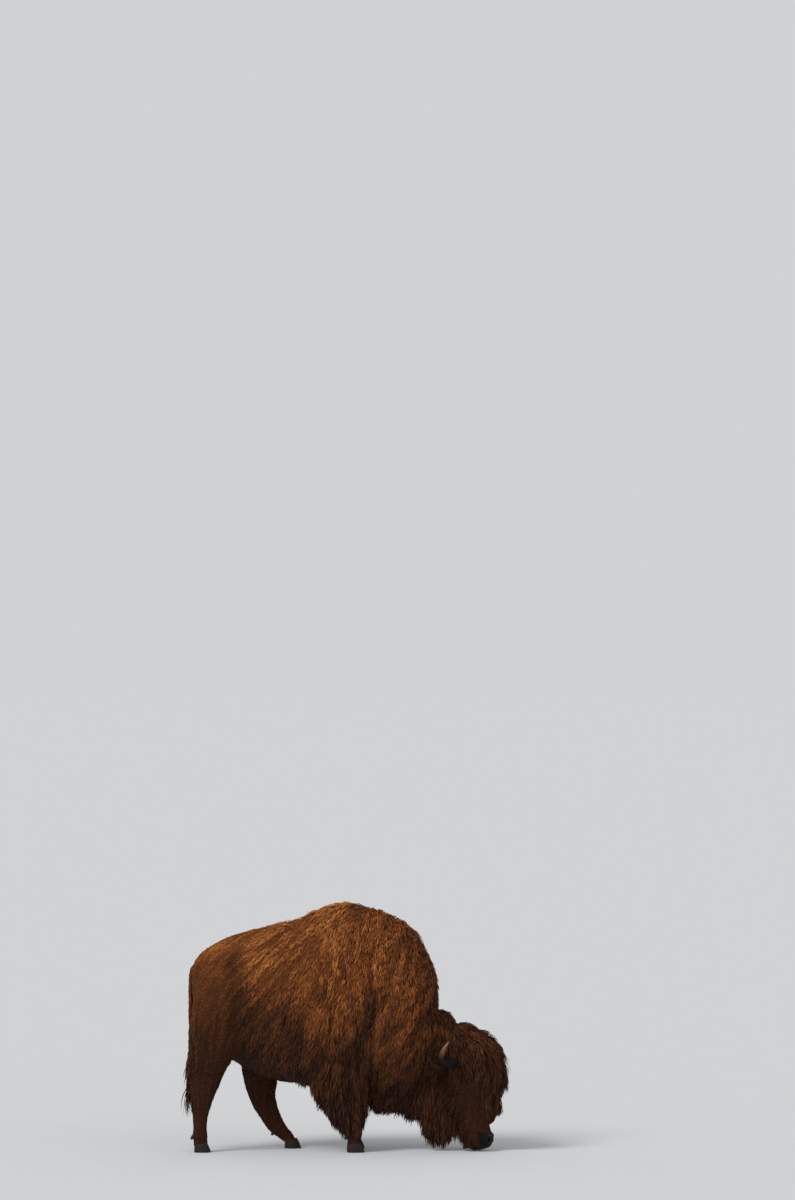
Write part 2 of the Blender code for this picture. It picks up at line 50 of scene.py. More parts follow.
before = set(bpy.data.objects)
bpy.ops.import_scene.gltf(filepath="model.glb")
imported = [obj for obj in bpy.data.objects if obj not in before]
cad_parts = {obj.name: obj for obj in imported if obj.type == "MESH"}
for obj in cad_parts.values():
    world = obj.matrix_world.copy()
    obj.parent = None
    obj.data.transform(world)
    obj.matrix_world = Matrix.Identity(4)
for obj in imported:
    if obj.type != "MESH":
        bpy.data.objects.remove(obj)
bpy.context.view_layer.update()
RNG_SEED = 1905

# ---- The body under its coat: the same measures as the solids, bare -------------------------

LEG_SPREAD = 0.165
HORN_REACH = 0.315
HORN_RADIUS = 0.043
HORN_CORNERS = 32
EAR_LENGTH = 0.15
EAR_HALF_THICKNESS = 0.003
EYE_RADIUS = 0.0195
HOOF_HEIGHT = 0.066
POLL = Vector((0.804, -0.020, 0.704))
HEAD_PITCH = math.radians(-11)
HEAD_TURN = math.radians(-18)
EYE_IN_HEAD = Vector((0.058, 0.132, -0.222))
NOSTRIL = (0.084, 0.050, -0.642)
SIDES = {"left": 1, "right": -1}

# How much of each form is hanging hair, which the locks make and the skin leaves out
MANE_DEPTH = 0.048
BONNET_DEPTH = 0.038
BEARD_DEPTH = 0.045
CHAPS_DEPTH = 0.034

RING_STEPS = 5                  # sections for each ring of a form
WAIST = 0.46                    # height of the trunk's widest line between underside and top
SKIN_VOXEL = 0.0125
FURROW_DEPTH = 0.022

# Trunk: along the body, top, underside, half width, and how far top and underside are pinched
TRUNK = (
    (-1.112, 1.285, 1.130, 0.050, 0.0, 0.0), (-1.082, 1.365, 0.930, 0.150, 0.0, 0.1),
    (-1.000, 1.440, 0.760, 0.218, 0.1, 0.1), (-0.860, 1.512, 0.670, 0.250, 0.1, 0.1),
    (-0.680, 1.566, 0.572, 0.258, 0.1, 0.0), (-0.480, 1.608, 0.496, 0.278, 0.1, 0.0),
    (-0.345, 1.640, 0.488, 0.290, 0.2, 0.1), (-0.240, 1.684, 0.482, 0.298, 0.3, 0.2),
    (-0.120, 1.728, 0.474, 0.304, 0.35, 0.2), (0.010, 1.744, 0.460, 0.308, 0.4, 0.3),
    (0.130, 1.732, 0.430, 0.304, 0.4, 0.4), (0.246, 1.686, 0.390, 0.290, 0.35, 0.45),
    (0.370, 1.620, 0.350, 0.266, 0.3, 0.45), (0.467, 1.526, 0.350, 0.236, 0.25, 0.35),
    (0.533, 1.396, 0.430, 0.204, 0.1, 0.1), (0.588, 1.250, 0.540, 0.164, 0.0, 0.0),
    (0.612, 1.120, 0.660, 0.110, 0.0, 0.0),
)

# Legs and hanging hair: height, front, back, half width, and how far out from their own line
FORELEG = (
    (0.860, 0.120, -0.120, 0.060, 0.020), (0.780, 0.150, -0.190, 0.100, 0.015),
    (0.660, 0.132, -0.190, 0.092, 0.010), (0.550, 0.116, -0.125, 0.078, 0.005),
    (0.450, 0.106, -0.050, 0.064, 0.0), (0.375, 0.100, -0.018, 0.056, 0.0),
    (0.310, 0.086, -0.004, 0.044, 0.0), (0.235, 0.074, 0.004, 0.036, 0.0),
    (0.170, 0.074, 0.002, 0.038, 0.0), (0.122, 0.084, -0.012, 0.048, 0.0),
    (0.086, 0.081, -0.006, 0.047, 0.0), (0.050, 0.084, -0.010, 0.050, 0.0),
)
HINDLEG_BACK = (
    (1.200, -0.820, -1.050, 0.060, 0.010), (1.060, -0.760, -1.100, 0.112, 0.010),
    (0.860, -0.762, -1.118, 0.118, 0.010), (0.690, -0.812, -1.122, 0.096, 0.004),
    (0.560, -0.884, -1.124, 0.074, 0.0), (0.463, -0.928, -1.126, 0.060, 0.0),
    (0.400, -0.956, -1.122, 0.052, 0.0), (0.320, -0.984, -1.112, 0.044, 0.0),
    (0.230, -1.004, -1.106, 0.040, 0.0), (0.165, -1.008, -1.102, 0.041, 0.0),
    (0.120, -1.002, -1.108, 0.048, 0.0), (0.086, -1.005, -1.100, 0.045, 0.0),
    (0.050, -1.002, -1.100, 0.047, 0.0),
)
HINDLEG_FORE = (
    (1.150, -0.760, -0.980, 0.060, 0.010), (1.000, -0.640, -0.980, 0.108, 0.010),
    (0.820, -0.548, -0.890, 0.112, 0.010), (0.680, -0.516, -0.800, 0.096, 0.004),
    (0.550, -0.512, -0.764, 0.074, 0.0), (0.450, -0.522, -0.744, 0.061, 0.0),
    (0.385, -0.530, -0.724, 0.053, 0.0), (0.305, -0.516, -0.690, 0.045, 0.0),
    (0.220, -0.484, -0.638, 0.040, 0.0), (0.155, -0.450, -0.596, 0.041, 0.0),
    (0.110, -0.414, -0.554, 0.048, 0.0), (0.080, -0.396, -0.510, 0.046, 0.0),
    (0.050, -0.374, -0.468, 0.047, 0.0),
)
# Long hair of the forelegs, out to its tips; its lowest part is locks alone
CHAPS = (
    (0.740, 0.080, -0.190, 0.070, 0.030), (0.640, 0.150, -0.270, 0.122, 0.015),
    (0.520, 0.150, -0.285, 0.134, 0.010), (0.400, 0.142, -0.240, 0.124, 0.005),
    (0.292, 0.136, -0.160, 0.104, 0.0), (0.200, 0.122, -0.080, 0.078, 0.0),
    (0.150, 0.110, -0.050, 0.068, 0.0),
)
BEARD = (
    (0.480, 0.800, 0.500, 0.110, 0.0), (0.360, 0.805, 0.470, 0.112, 0.0),
    (0.240, 0.805, 0.478, 0.100, 0.0), (0.150, 0.795, 0.520, 0.078, 0.0),
)
BEARD_LINE = -0.035
# Rings, their line across the body, and the depth of their outer hair
LIMBS = (
    (FORELEG, LEG_SPREAD, 0), (FORELEG, -LEG_SPREAD, 0), (HINDLEG_FORE, LEG_SPREAD, 0),
    (HINDLEG_BACK, -LEG_SPREAD, 0), (CHAPS, LEG_SPREAD, CHAPS_DEPTH),
    (CHAPS, -LEG_SPREAD, CHAPS_DEPTH), (BEARD, BEARD_LINE, BEARD_DEPTH),
)
# Along the body: the middle of the foot, and the back of the pastern
FEET = {
    "foreleg_left": (0.044, -0.016),
    "foreleg_right": (0.044, -0.016),
    "hindleg_left": (-0.408, -0.544),
    "hindleg_right": (-1.042, -1.107),
}

# Head: distance below the poll, depth of the face and of the jaw, half width
HEAD = (
    (-0.045, 0.010, 0.070, 0.060), (-0.015, 0.070, 0.110, 0.118), (0.060, 0.108, 0.140, 0.140),
    (0.150, 0.118, 0.160, 0.144), (0.230, 0.118, 0.172, 0.136), (0.320, 0.108, 0.160, 0.112),
    (0.410, 0.096, 0.130, 0.092), (0.500, 0.094, 0.100, 0.080), (0.570, 0.100, 0.088, 0.080),
    (0.630, 0.100, 0.084, 0.082), (0.682, 0.078, 0.074, 0.072), (0.707, 0.034, 0.040, 0.042),
)

Mass = namedtuple("Mass", "name middle radii lean hair paired", defaults=(0.0, 0, False))
BODY_MASSES = (
    Mass("shoulder", (0.040, 0.175, 1.020), (0.240, 0.125, 0.400), 0.10, 0, True),
    Mass("upper_arm", (-0.010, 0.145, 0.800), (0.215, 0.125, 0.260), -0.20, 0, True),
    Mass("ribs", (-0.300, 0.120, 0.920), (0.420, 0.180, 0.400), 0.0, 0, True),
    Mass("hip", (-0.860, 0.110, 1.330), (0.170, 0.100, 0.115), 0.25, 0, True),
    Mass("thigh_right", (-0.915, -0.150, 1.040), (0.190, 0.125, 0.310), 0.05),
    Mass("thigh_left", (-0.850, 0.145, 1.020), (0.225, 0.128, 0.320), -0.32),
    Mass("neck", (0.520, 0, 0.780), (0.150, 0.165, 0.360), -0.55),
    Mass("throat", (0.440, 0, 0.600), (0.220, 0.120, 0.220), -0.30),
    Mass("throat_mane", (0.470, 0, 0.520), (0.255, 0.140, 0.280), -0.15, MANE_DEPTH),
    Mass("chest_mane", (0.270, 0, 0.520), (0.240, 0.145, 0.250), 0.0, MANE_DEPTH),
    Mass("nape_crest", (0.650, 0, 0.903), (0.115, 0.130, 0.105), -0.60, 0.030),
    Mass("nape", (0.640, 0, 0.850), (0.120, 0.110, 0.150), -0.50),
)
# In the head's own frame: X out of the face, Z up through the poll
HEAD_MASSES = (
    Mass("forelock", (0.100, 0, -0.142), (0.196, 0.198, 0.290), 0.0, BONNET_DEPTH),
    Mass("crown", (-0.010, 0, 0.056), (0.172, 0.180, 0.178), 0.0, BONNET_DEPTH),
    Mass("topknot", (0.085, 0, 0.005), (0.150, 0.150, 0.163), 0.0, BONNET_DEPTH),
    Mass("brow_fringe", (0.110, 0, -0.362), (0.124, 0.112, 0.215), 0.08, 0.038),
    Mass("cheek_hair", (-0.110, 0.090, -0.230), (0.130, 0.085, 0.200), 0.0, 0.045, True),
    Mass("orbit", (0.050, 0.106, -0.220), (0.052, 0.036, 0.048), 0.0, 0, True),
    Mass("jaw_muscle", (-0.070, 0.062, -0.300), (0.080, 0.056, 0.120), 0.0, 0, True),
    Mass("nose_wing", (0.058, 0.040, -0.632), (0.048, 0.046, 0.052), 0.0, 0, True),
    Mass("upper_lip", (0.040, 0, -0.668), (0.058, 0.072, 0.040)),
    Mass("chin", (-0.052, 0, -0.650), (0.044, 0.052, 0.046)),
)


def head_matrix():
    """Carries the head's own frame to where the head is held, before the step to the origin."""
    held = Euler((0, HEAD_PITCH, HEAD_TURN), "XYZ").to_matrix().to_4x4()
    return Matrix.Translation(POLL) @ held


def step_to_origin():
    """From the tables' origin to the frame's, which lies under the middle of the box."""
    low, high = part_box("eye_left")
    step = (low + high) / 2 - head_matrix() @ EYE_IN_HEAD
    return Vector((step.x, step.y, 0))


STEP = step_to_origin()
AT_BODY = Matrix.Translation(STEP)
AT_HEAD = AT_BODY @ head_matrix()
TAIL_X = STEP.x - 1.130


# ---- Small tools ----------------------------------------------------------------------------

def carried(matrix, points):
    """Points of an array moved by a 4x4 matrix."""
    m = np.array(matrix)
    return points @ m[:3, :3].T + m[:3, 3]


def in_head(points):
    """Points in the head's own frame."""
    return carried(AT_HEAD.inverted(), points)


def ramp(low, high, value):
    """0 below `low`, 1 above `high`, and an S curve between."""
    t = np.clip((value - low) / (high - low), 0.0, 1.0)
    return t * t * (3 - 2 * t)


def unit(vectors):
    return vectors / np.maximum(np.linalg.norm(vectors, axis=-1, keepdims=True), 1e-9)


def bell(value, width):
    """1 where `value` is 0, fading to either side over about `width`."""
    return np.exp(-(value / width) ** 2)


def folded(points):
    """Points with the right half of the body laid on the left half."""
    return np.stack([points[:, 0], np.abs(points[:, 1]), points[:, 2]], 1)


def select_only(obj):
    bpy.ops.object.select_all(action="DESELECT")
    obj.select_set(True)
    bpy.context.view_layer.objects.active = obj


def edit_whole(obj, operator, **settings):
    """Runs an edit mode operator on all of a mesh."""
    select_only(obj)
    bpy.ops.object.mode_set(mode="EDIT")
    bpy.ops.mesh.select_all(action="SELECT")
    operator(**settings)
    bpy.ops.object.mode_set(mode="OBJECT")


def outwards(obj):
    """Turns every face of a closed piece outwards."""
    edit_whole(obj, bpy.ops.mesh.normals_make_consistent, inside=False)


def join(obj, others):
    select_only(obj)
    for other in others:
        other.select_set(True)
    bpy.ops.object.join()


def apply_modifier(obj, kind, **settings):
    """Adds a modifier with these settings and applies it."""
    select_only(obj)
    modifier = obj.modifiers.new(kind.lower(), kind)
    for name, value in settings.items():
        setattr(modifier, name, value)
    bpy.ops.object.modifier_apply(modifier=modifier.name)


def values_of(items, name, width=1, kind=np.float32):
    """One property of every item of a mesh, `width` numbers to a row."""
    got = np.empty(len(items) * width, kind)
    items.foreach_get(name, got)
    return got.reshape(-1, width)


def new_object(name, data):
    obj = bpy.data.objects.new(name, data)
    bpy.context.scene.collection.objects.link(obj)
    return obj


def mesh_from(name, points, faces):
    data = bpy.data.meshes.new(name)
    data.from_pydata([tuple(p) for p in points], [], [tuple(f) for f in faces])
    return new_object(name, data)


def finished(obj, finish, replaced=()):
    """The last steps of every piece: finish, body and the solids it stands for."""
    obj.data.materials.clear()
    obj.data.materials.append(material_of(finish))
    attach(obj, "root")
    if replaced:
        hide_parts(*replaced)


# ---- Forms ----------------------------------------------------------------------------------

def smooth_rows(rows, steps):
    """The rows with `steps` places per span, on Catmull-Rom curves through them."""
    rows = np.array(rows, float)
    padded = np.vstack([rows[:1], rows, rows[-1:]])
    t = (np.arange(steps) / steps)[None, :, None]
    a, b, c, d = (padded[i:len(rows) - 1 + i, None, :] for i in range(4))
    curve = 0.5 * (2 * b + (c - a) * t + (2 * a - 5 * b + 4 * c - d) * t ** 2
                   + (3 * b - a - 3 * c + d) * t ** 3)
    return np.vstack([curve.reshape(-1, rows.shape[1]), rows[-1:]])


def headings(rows):
    """Which way a path runs at each of its rows."""
    spots = np.vstack([rows[:1], rows, rows[-1:]])[:, :3]
    return unit(spots[2:] - spots[:-2])


def oval(middle, up, side, above, below, half, pinch_top=0.0, pinch_low=0.0, corners=48):
    """A ring of corners, of other depth above its middle than below, pinched in at the ends."""
    turn = np.arange(corners) * 2 * math.pi / corners
    rise, out = np.sin(turn), np.cos(turn)
    pinch = np.where(rise > 0, pinch_top, pinch_low) * rise ** 2
    depth = np.where(rise > 0, above, below)
    return (np.array(middle) + np.outer(rise * depth, up)
            + np.outer(out * half * (1 - pinch), side))


def loft(sections):
    """Points and faces of a closed skin over the sections."""
    count = len(sections[0])
    points = np.vstack(sections)
    i = np.arange(count)
    j = (i + 1) % count
    faces = []
    for k in range(len(sections) - 1):
        a, b = k * count, (k + 1) * count
        faces += np.stack([a + i, a + j, b + j, b + i], 1).tolist()
    last = (len(sections) - 1) * count
    faces.append(list(range(count))[::-1])
    faces.append(list(range(last, last + count)))
    return points, faces


def trunk_form():
    sections = []
    for x, top, low, half, pinch_top, pinch_low in smooth_rows(TRUNK, RING_STEPS):
        waist = low + WAIST * (top - low)
        sections.append(oval((x, 0, waist), (0, 0, 1), (0, 1, 0), top - waist, waist - low,
                             half, pinch_top, pinch_low))
    return loft(sections)


def level_form(rings, line, hair=0.0):
    """A loft of level sections about a line at Y = `line`, without its outer hair."""
    away = 1 if line >= 0 else -1
    sections = []
    for z, fore, aft, half, out in smooth_rows(rings, RING_STEPS):
        depth = max((fore - aft) / 2 - hair, 0.01)
        sections.append(oval(((fore + aft) / 2, line + away * out, z), (1, 0, 0), (0, 1, 0),
                             depth, depth, max(half - hair, 0.01)))
    return loft(sections)


def head_form():
    return loft([oval((0, 0, -below), (1, 0, 0), (0, 1, 0), face, jaw, half)
                 for below, face, jaw, half in smooth_rows(HEAD, RING_STEPS)])


def ball_form(mass, side):
    """An ellipsoid without its outer hair; `side` is -1 for the mirrored one of a pair."""
    bm = bmesh.new()
    bmesh.ops.create_icosphere(bm, subdivisions=4, radius=1.0)
    x, y, z = mass.middle
    place = Matrix.Translation((x, y * side, z)) @ Matrix.Rotation(mass.lean, 4, "Y")
    bm.transform(place @ Matrix.Diagonal((*(r - mass.hair for r in mass.radii), 1)))
    points = np.array([v.co for v in bm.verts])
    faces = [[v.index for v in f.verts] for f in bm.faces]
    bm.free()
    return points, faces


def tube_form(path, corners=24, steps=6):
    """A round tube through rows of (x, y, z, radius)."""
    rows = smooth_rows(path, steps)
    sections = []
    for row, along in zip(rows, headings(rows)):
        side = unit(np.cross((0.98, 0.13, 0.11), along))
        sections.append(oval(row[:3], np.cross(along, side), side, row[3], row[3], row[3],
                             corners=corners))
    return loft(sections)


def tail_form():
    """The dock of the tail under its hair."""
    return tube_form(((-1.020, 0, 1.330, 0.012), (-1.070, 0, 1.325, 0.016),
                      (-1.106, 0, 1.275, 0.021), (-1.124, 0, 1.120, 0.016),
                      (-1.127, 0, 0.880, 0.012), (-1.128, 0, 0.620, 0.012),
                      (-1.131, 0, 0.435, 0.006)))


def ear_form(side):
    """A leaf cupped about its middle rib, thin at the rim, in the head's frame."""
    # Each row: forward, share of the length outwards, up, and share of the length as half width
    path = ((-0.095, -0.10, -0.085, 0.15), (-0.112, 0.33, -0.075, 0.25),
            (-0.136, 0.66, -0.052, 0.27), (-0.158, 0.92, -0.020, 0.17),
            (-0.168, 1.04, 0.002, 0.03))
    rows = smooth_rows([(x, (0.120 + out * EAR_LENGTH) * side, z, share * EAR_LENGTH)
                        for x, out, z, share in path], 4)
    facing = np.array((0.80, 0.35 * side, 0.30))
    sections = []
    for i, (row, along) in enumerate(zip(rows, headings(rows))):
        thin = unit(facing - along * facing.dot(along))
        wide = np.cross(along, thin)
        ring = oval(row[:3], thin, wide, EAR_HALF_THICKNESS, EAR_HALF_THICKNESS, row[3], corners=28)
        reach = ((ring - row[:3]) @ wide / max(row[3], 1e-6)) ** 2
        cup = 0.45 * row[3] * min(1.0, i / 4 + 0.3)
        sections.append(ring + np.outer(reach * cup - cup * 0.5, thin))
    return loft(sections)


def mass_forms(masses):
    return [ball_form(mass, side) for mass in masses
            for side in ((1, -1) if mass.paired else (1,))]


# ---- Skin -----------------------------------------------------------------------------------

def make_skin():
    """Every bare form as one surface, with the face finished on a finer mesh."""
    body = [trunk_form(), *(level_form(*limb) for limb in LIMBS), *mass_forms(BODY_MASSES)]
    head = [head_form(), *mass_forms(HEAD_MASSES)]
    points, faces, count = [], [], 0
    for matrix, forms in ((AT_BODY, body), (AT_HEAD, head)):
        for form_points, form_faces in forms:
            points.append(carried(matrix, form_points))
            faces += [[count + i for i in face] for face in form_faces]
            count += len(form_points)
    skin = mesh_from("skin", np.vstack(points), faces)
    apply_modifier(skin, "REMESH", mode="VOXEL", voxel_size=SKIN_VOXEL)
    apply_modifier(skin, "SMOOTH", factor=0.5, iterations=3)
    smooth_broad_forms(skin)
    part_shoulder(skin)
    refine_face(skin)
    add_tail_and_ears(skin)
    # The unwrap of the skin's own shape, on which each lock of the coat has its patch too
    edit_whole(skin, bpy.ops.uv.smart_project, angle_limit=math.radians(66), island_margin=0.002)
    skin.data.uv_layers.active.name = "OFBake"
    skin.data.shade_smooth()
    return skin


def smooth_broad_forms(skin):
    """Smooths trunk and neck more than legs and head, in four grades."""
    points = places(skin)
    weight = ramp(0.50, 0.70, points[:, 2]) * (1 - ramp(-0.20, -0.10, in_head(points)[:, 0]))
    broad = skin.vertex_groups.new(name="broad")
    for step in range(1, 5):
        picked = np.flatnonzero((weight > (step - 1) / 4) & (weight <= step / 4))
        broad.add(picked.tolist(), step / 4, "REPLACE")
    apply_modifier(skin, "SMOOTH", factor=0.5, iterations=24, vertex_group="broad")
    skin.vertex_groups.clear()


def part_shoulder(skin):
    """Sinks the furrow of the parting between shoulder and neck."""
    points = places(skin)
    x, y, z = folded(points).T
    furrow = bell(x - parting_at(z), 0.024) * ramp(0.62, 0.85, z)
    furrow *= ramp(1.64, 1.30, z) * ramp(0.06, 0.14, y)
    place_points(skin, points - normals_of(skin) * (FURROW_DEPTH * furrow)[:, None])


def add_tail_and_ears(skin):
    """Sets the thin tail and ears into the skin, as fine as they are."""
    made = []
    for name, matrix, (points, faces) in (("tail_form", AT_BODY, tail_form()),
                                          ("ear_form_left", AT_HEAD, ear_form(1)),
                                          ("ear_form_right", AT_HEAD, ear_form(-1))):
        made.append(mesh_from(name, carried(matrix, points), faces))
        outwards(made[-1])
    join(skin, made)


def places(obj):
    """The corner points of a mesh as an array."""
    return values_of(obj.data.vertices, "co", 3).astype(float)


def place_points(obj, points):
    obj.data.vertices.foreach_set("co", points.astype(np.float32).ravel())
    obj.data.update()


def divide_where(obj, inside):
    """Subdivides the faces whose corners `inside` picks out."""
    wanted = inside(in_head(places(obj)))
    bm = bmesh.new()
    bm.from_mesh(obj.data)
    bm.verts.ensure_lookup_table()
    edges = [e for e in bm.edges if wanted[e.verts[0].index] and wanted[e.verts[1].index]]
    bmesh.ops.subdivide_edges(bm, edges=edges, cuts=1, use_grid_fill=True, smooth=0.0)
    bmesh.ops.triangulate(bm, faces=[f for f in bm.faces if len(f.verts) > 4])
    bm.to_mesh(obj.data)
    bm.free()


def around_eye(points):
    """Distance from the eyes' middles, in the head's frame."""
    return np.linalg.norm(folded(points) - np.array(EYE_IN_HEAD), axis=1)


def normals_of(obj):
    return values_of(obj.data.vertices, "normal", 3).astype(float)


def refine_face(skin):
    """Nostrils, the mouth's line, the groove of the lip, eye sockets and their folds."""
    divide_where(skin, lambda p: (p[:, 2] < -0.50) | (around_eye(p) < 0.075))
    divide_where(skin, lambda p: (p[:, 2] < -0.585) | (around_eye(p) < 0.050))
    apply_modifier(skin, "SMOOTH", factor=0.5, iterations=2)
    place_points(skin, carved_face(places(skin), normals_of(skin)))


def carved_face(points, normals):
    """The face's points pushed in and out along its normals, by metres in the head's frame."""
    p = in_head(points)
    x, y, z = folded(p).T
    depth = np.zeros(len(p))
    # Nostril: a comma, wide in front and drawn out backwards and up the side
    gap = folded(p) - NOSTRIL
    comma = unit(np.array((-0.72, 0.34, 0.52)))
    along = gap @ comma
    width = np.interp(along, (-0.030, -0.016, 0.004, 0.028, 0.050),
                      (0.003, 0.0175, 0.0205, 0.0125, 0.003))
    opening = np.linalg.norm(gap - np.outer(along, comma), axis=1) / width
    near = ramp(0.054, 0.044, np.abs(along - 0.010))
    depth += 0.030 * (1 - ramp(0.55, 1.00, opening)) * near
    depth -= 0.0040 * bell(opening - 1.40, 0.32) * near
    # Folds of the nose's side behind the nostril, 17 mm apart
    folds = np.sin((z + 0.64 + 0.8 * (x - 0.05)) * 2 * math.pi / 0.017)
    depth += 0.0011 * folds * ramp(0.040, 0.055, y) * ramp(0.070, 0.045, x) * (
        ramp(-0.52, -0.56, z) * ramp(-0.69, -0.66, z))
    # Mouth: a groove round the muzzle that rises towards its corners, over a lip
    line = x - (-0.012 - 0.16 * (z + 0.70))
    mouth = bell(line, 0.0060) * ramp(-0.575, -0.600, z)
    depth += 0.009 * mouth
    depth -= 0.0025 * bell(line - 0.016, 0.008) * ramp(-0.575, -0.610, z)
    # Groove down the middle of the upper lip
    depth += 0.004 * bell(y, 0.006) * ramp(-0.640, -0.665, z) * (x > 0.0)
    # Socket behind the eyeball, in a low swelling
    reach = around_eye(p)
    forward, lift = x - EYE_IN_HEAD.x, z - EYE_IN_HEAD.z
    off_axis = np.hypot(forward, lift)
    socket = np.hypot(forward / 0.0195, lift / 0.0145)
    depth += 0.022 * (1 - ramp(0.62, 1.0, socket)) * (reach < 0.05)
    near_eye = ramp(0.085, 0.065, reach)
    depth -= 0.0055 * bell(off_axis, 0.042) * near_eye
    # Brow over the eye, the bag under the lower lid, and the fold between brow and upper lid
    depth -= 0.0080 * bell(lift - 0.032, 0.012) * bell(forward, 0.034) * near_eye
    depth -= 0.0030 * bell(lift + 0.029, 0.008) * bell(forward, 0.026) * near_eye
    fold = bell(off_axis - 0.0235, 0.0028) * ramp(-0.002, 0.010, lift)
    depth += 0.0028 * fold * near_eye
    # Tear groove in front of the eye
    tear = bell(lift + 0.012 + 0.5 * (forward - 0.02), 0.004) * (reach < 0.07)
    depth += 0.0020 * tear * ramp(0.014, 0.024, forward) * (1 - ramp(0.036, 0.050, forward))
    return points - normals * depth[:, None]


# ---- Markings and painted light and shade: the same for skin and coat -----------------------

# How light the coat is at places along the body and at these heights, in percent: 0 is
# near-black brown, 55 the brown of the rump, 86 the cape, 100 bleached. Mostly the coat's own
# colour, with painted light and shade: flanks and rump darken downwards partly as painted
# shade, the back edge of the rump has painted rim light, the front of hump and neck painted shade
MARK_HEIGHTS = (0.00, 0.45, 0.60, 0.70, 0.76, 0.85, 1.00, 1.12, 1.25, 1.40, 1.60, 1.78)
MARKS_AND_PAINTED_LIGHT = {
    -1.10: (12, 17, 22, 26, 30, 38, 50, 55, 57, 80, 90, 90),
    -0.95: (12, 15, 19, 22, 24, 29, 38, 46, 58, 84, 92, 92),
    -0.80: (12, 13, 16, 18, 20, 24, 31, 40, 60, 80, 90, 90),
    -0.74: (12, 12, 14, 16, 19, 22, 28, 38, 64, 82, 88, 88),
    -0.68: (12, 12, 13, 16, 20, 25, 34, 54, 88, 94, 88, 87),
    -0.60: (12, 12, 13, 17, 22, 30, 48, 70, 93, 94, 88, 86),
    -0.45: (12, 12, 13, 16, 20, 30, 52, 74, 91, 93, 88, 86),
    -0.315: (12, 12, 13, 15, 17, 23, 42, 68, 88, 91, 88, 86),
    -0.275: (10, 16, 28, 44, 54, 64, 73, 79, 87, 90, 88, 86),
    -0.24: (10, 14, 24, 42, 56, 68, 77, 80, 85, 88, 87, 86),
    -0.05: (10, 10, 12, 16, 34, 64, 76, 78, 80, 85, 87, 86),
    0.08: (8, 8, 9, 12, 18, 48, 69, 75, 78, 81, 84, 84),
    0.14: (8, 8, 9, 12, 16, 36, 62, 72, 78, 80, 81, 80),
    0.22: (8, 14, 44, 60, 62, 58, 70, 80, 83, 82, 78, 76),
    0.40: (8, 10, 28, 46, 54, 64, 74, 82, 86, 80, 64, 58),
    0.52: (8, 8, 14, 24, 32, 46, 60, 66, 62, 54, 42, 40),
    0.62: (8, 8, 10, 14, 18, 26, 34, 36, 34, 32, 32, 32),
}


def parting_at(z):
    """Where the parting between shoulder and neck runs, along the body."""
    line = np.interp(z, (0.60, 0.85, 1.10, 1.58), (0.15, 0.20, 0.197, 0.137))
    return line + 0.008 * np.sin(z * 19) + 0.004 * np.sin(z * 47)


def shade_at(points):
    """How light the coat is, with painted light and shade: 0 near-black brown, 0.5 the brown of the
    rump, 1 golden brown.
    """
    x, y, z = folded(points).T
    h = in_head(points)
    columns = np.array([np.interp(z, MARK_HEIGHTS, np.array(percent) / 100)
                        for percent in MARKS_AND_PAINTED_LIGHT.values()])
    stops = np.array(list(MARKS_AND_PAINTED_LIGHT))
    place = np.clip(np.interp(x, stops, np.arange(len(stops))), 0, len(stops) - 1.001)
    column = place.astype(int)
    each = np.arange(len(x))
    share = place - column
    shade = columns[column, each] * (1 - share) + columns[column + 1, each] * share
    # The insides of the legs and the middle of the belly are darker than the flanks
    shade -= 0.5 * (shade - 0.12) * ramp(0.12, 0.04, y) * ramp(0.95, 0.75, z)
    # Painted shade along the soft partings between shoulder and neck, over their furrows:
    # place behind the main one, depth, breadth
    on_side = ramp(0.70, 0.98, z) * ramp(1.62, 1.22, z) * ramp(0.05, 0.12, y)
    for gap, depth, broad in ((0.0, 0.42, 0.019), (-0.055, 0.14, 0.018), (0.060, 0.10, 0.018)):
        shade -= depth * bell(x - parting_at(z) - gap, broad) * on_side
    # Painted shade in the hollow before the hip bone, painted light on the edge of the thigh and
    # painted shade in the dark line of the loin
    patch = bell(x + 0.79, 0.055) * bell(z - 1.33, 0.085)
    shade -= 0.22 * patch * ramp(0.1, 0.2, y)
    thigh = bell(x + 0.87 + 0.10 * (z - 1.1), 0.035)
    shade += 0.12 * thigh * ramp(0.88, 1.02, z) * ramp(1.34, 1.24, z) * ramp(0.1, 0.2, y)
    loin = bell(z - np.interp(x, (-0.79, -0.59), (1.40, 1.45)), 0.016)
    shade -= 0.14 * loin * ramp(-0.84, -0.78, x) * ramp(-0.54, -0.62, x) * ramp(0.08, 0.14, y)
    # The head, nape and beard are near-black, a little browner on the crown and behind it,
    # partly the bonnet's own brown and partly painted highlight
    on_head = ramp(-0.24, -0.14, h[:, 0]) * ramp(0.60, 0.68, x)
    head = 0.13 + 0.12 * ramp(-0.05, 0.12, h[:, 2]) + 0.05 * ramp(0.10, 0.20, h[:, 0])
    shade += (head - shade) * on_head
    below = ramp(0.60, 0.48, z) * ramp(0.35, 0.45, x)
    shade += (0.10 - shade) * below
    # Lighter in an arch over the ear and in a band down the neck behind the cheek
    arch = bell(np.hypot(x - 0.655, z - 0.790) - 0.085, 0.018)
    shade += 0.34 * arch * ramp(0.79, 0.83, z) * ramp(0.06, 0.10, y)
    streak = bell(z - 0.778 + 0.70 * (0.574 - x), 0.022) * ramp(0.62, 0.56, x)
    shade += 0.26 * streak * ramp(0.36, 0.42, x) * ramp(0.05, 0.10, y)
    return np.clip(shade, 0.0, 1.0)


# ---- Lie of the coat ------------------------------------------------------------------------

RIPPLE_LENGTH = 0.085           # of the waves that neighbouring locks share
RIDGE_PASSES = 44               # more passes draw the ridges of the wool out longer

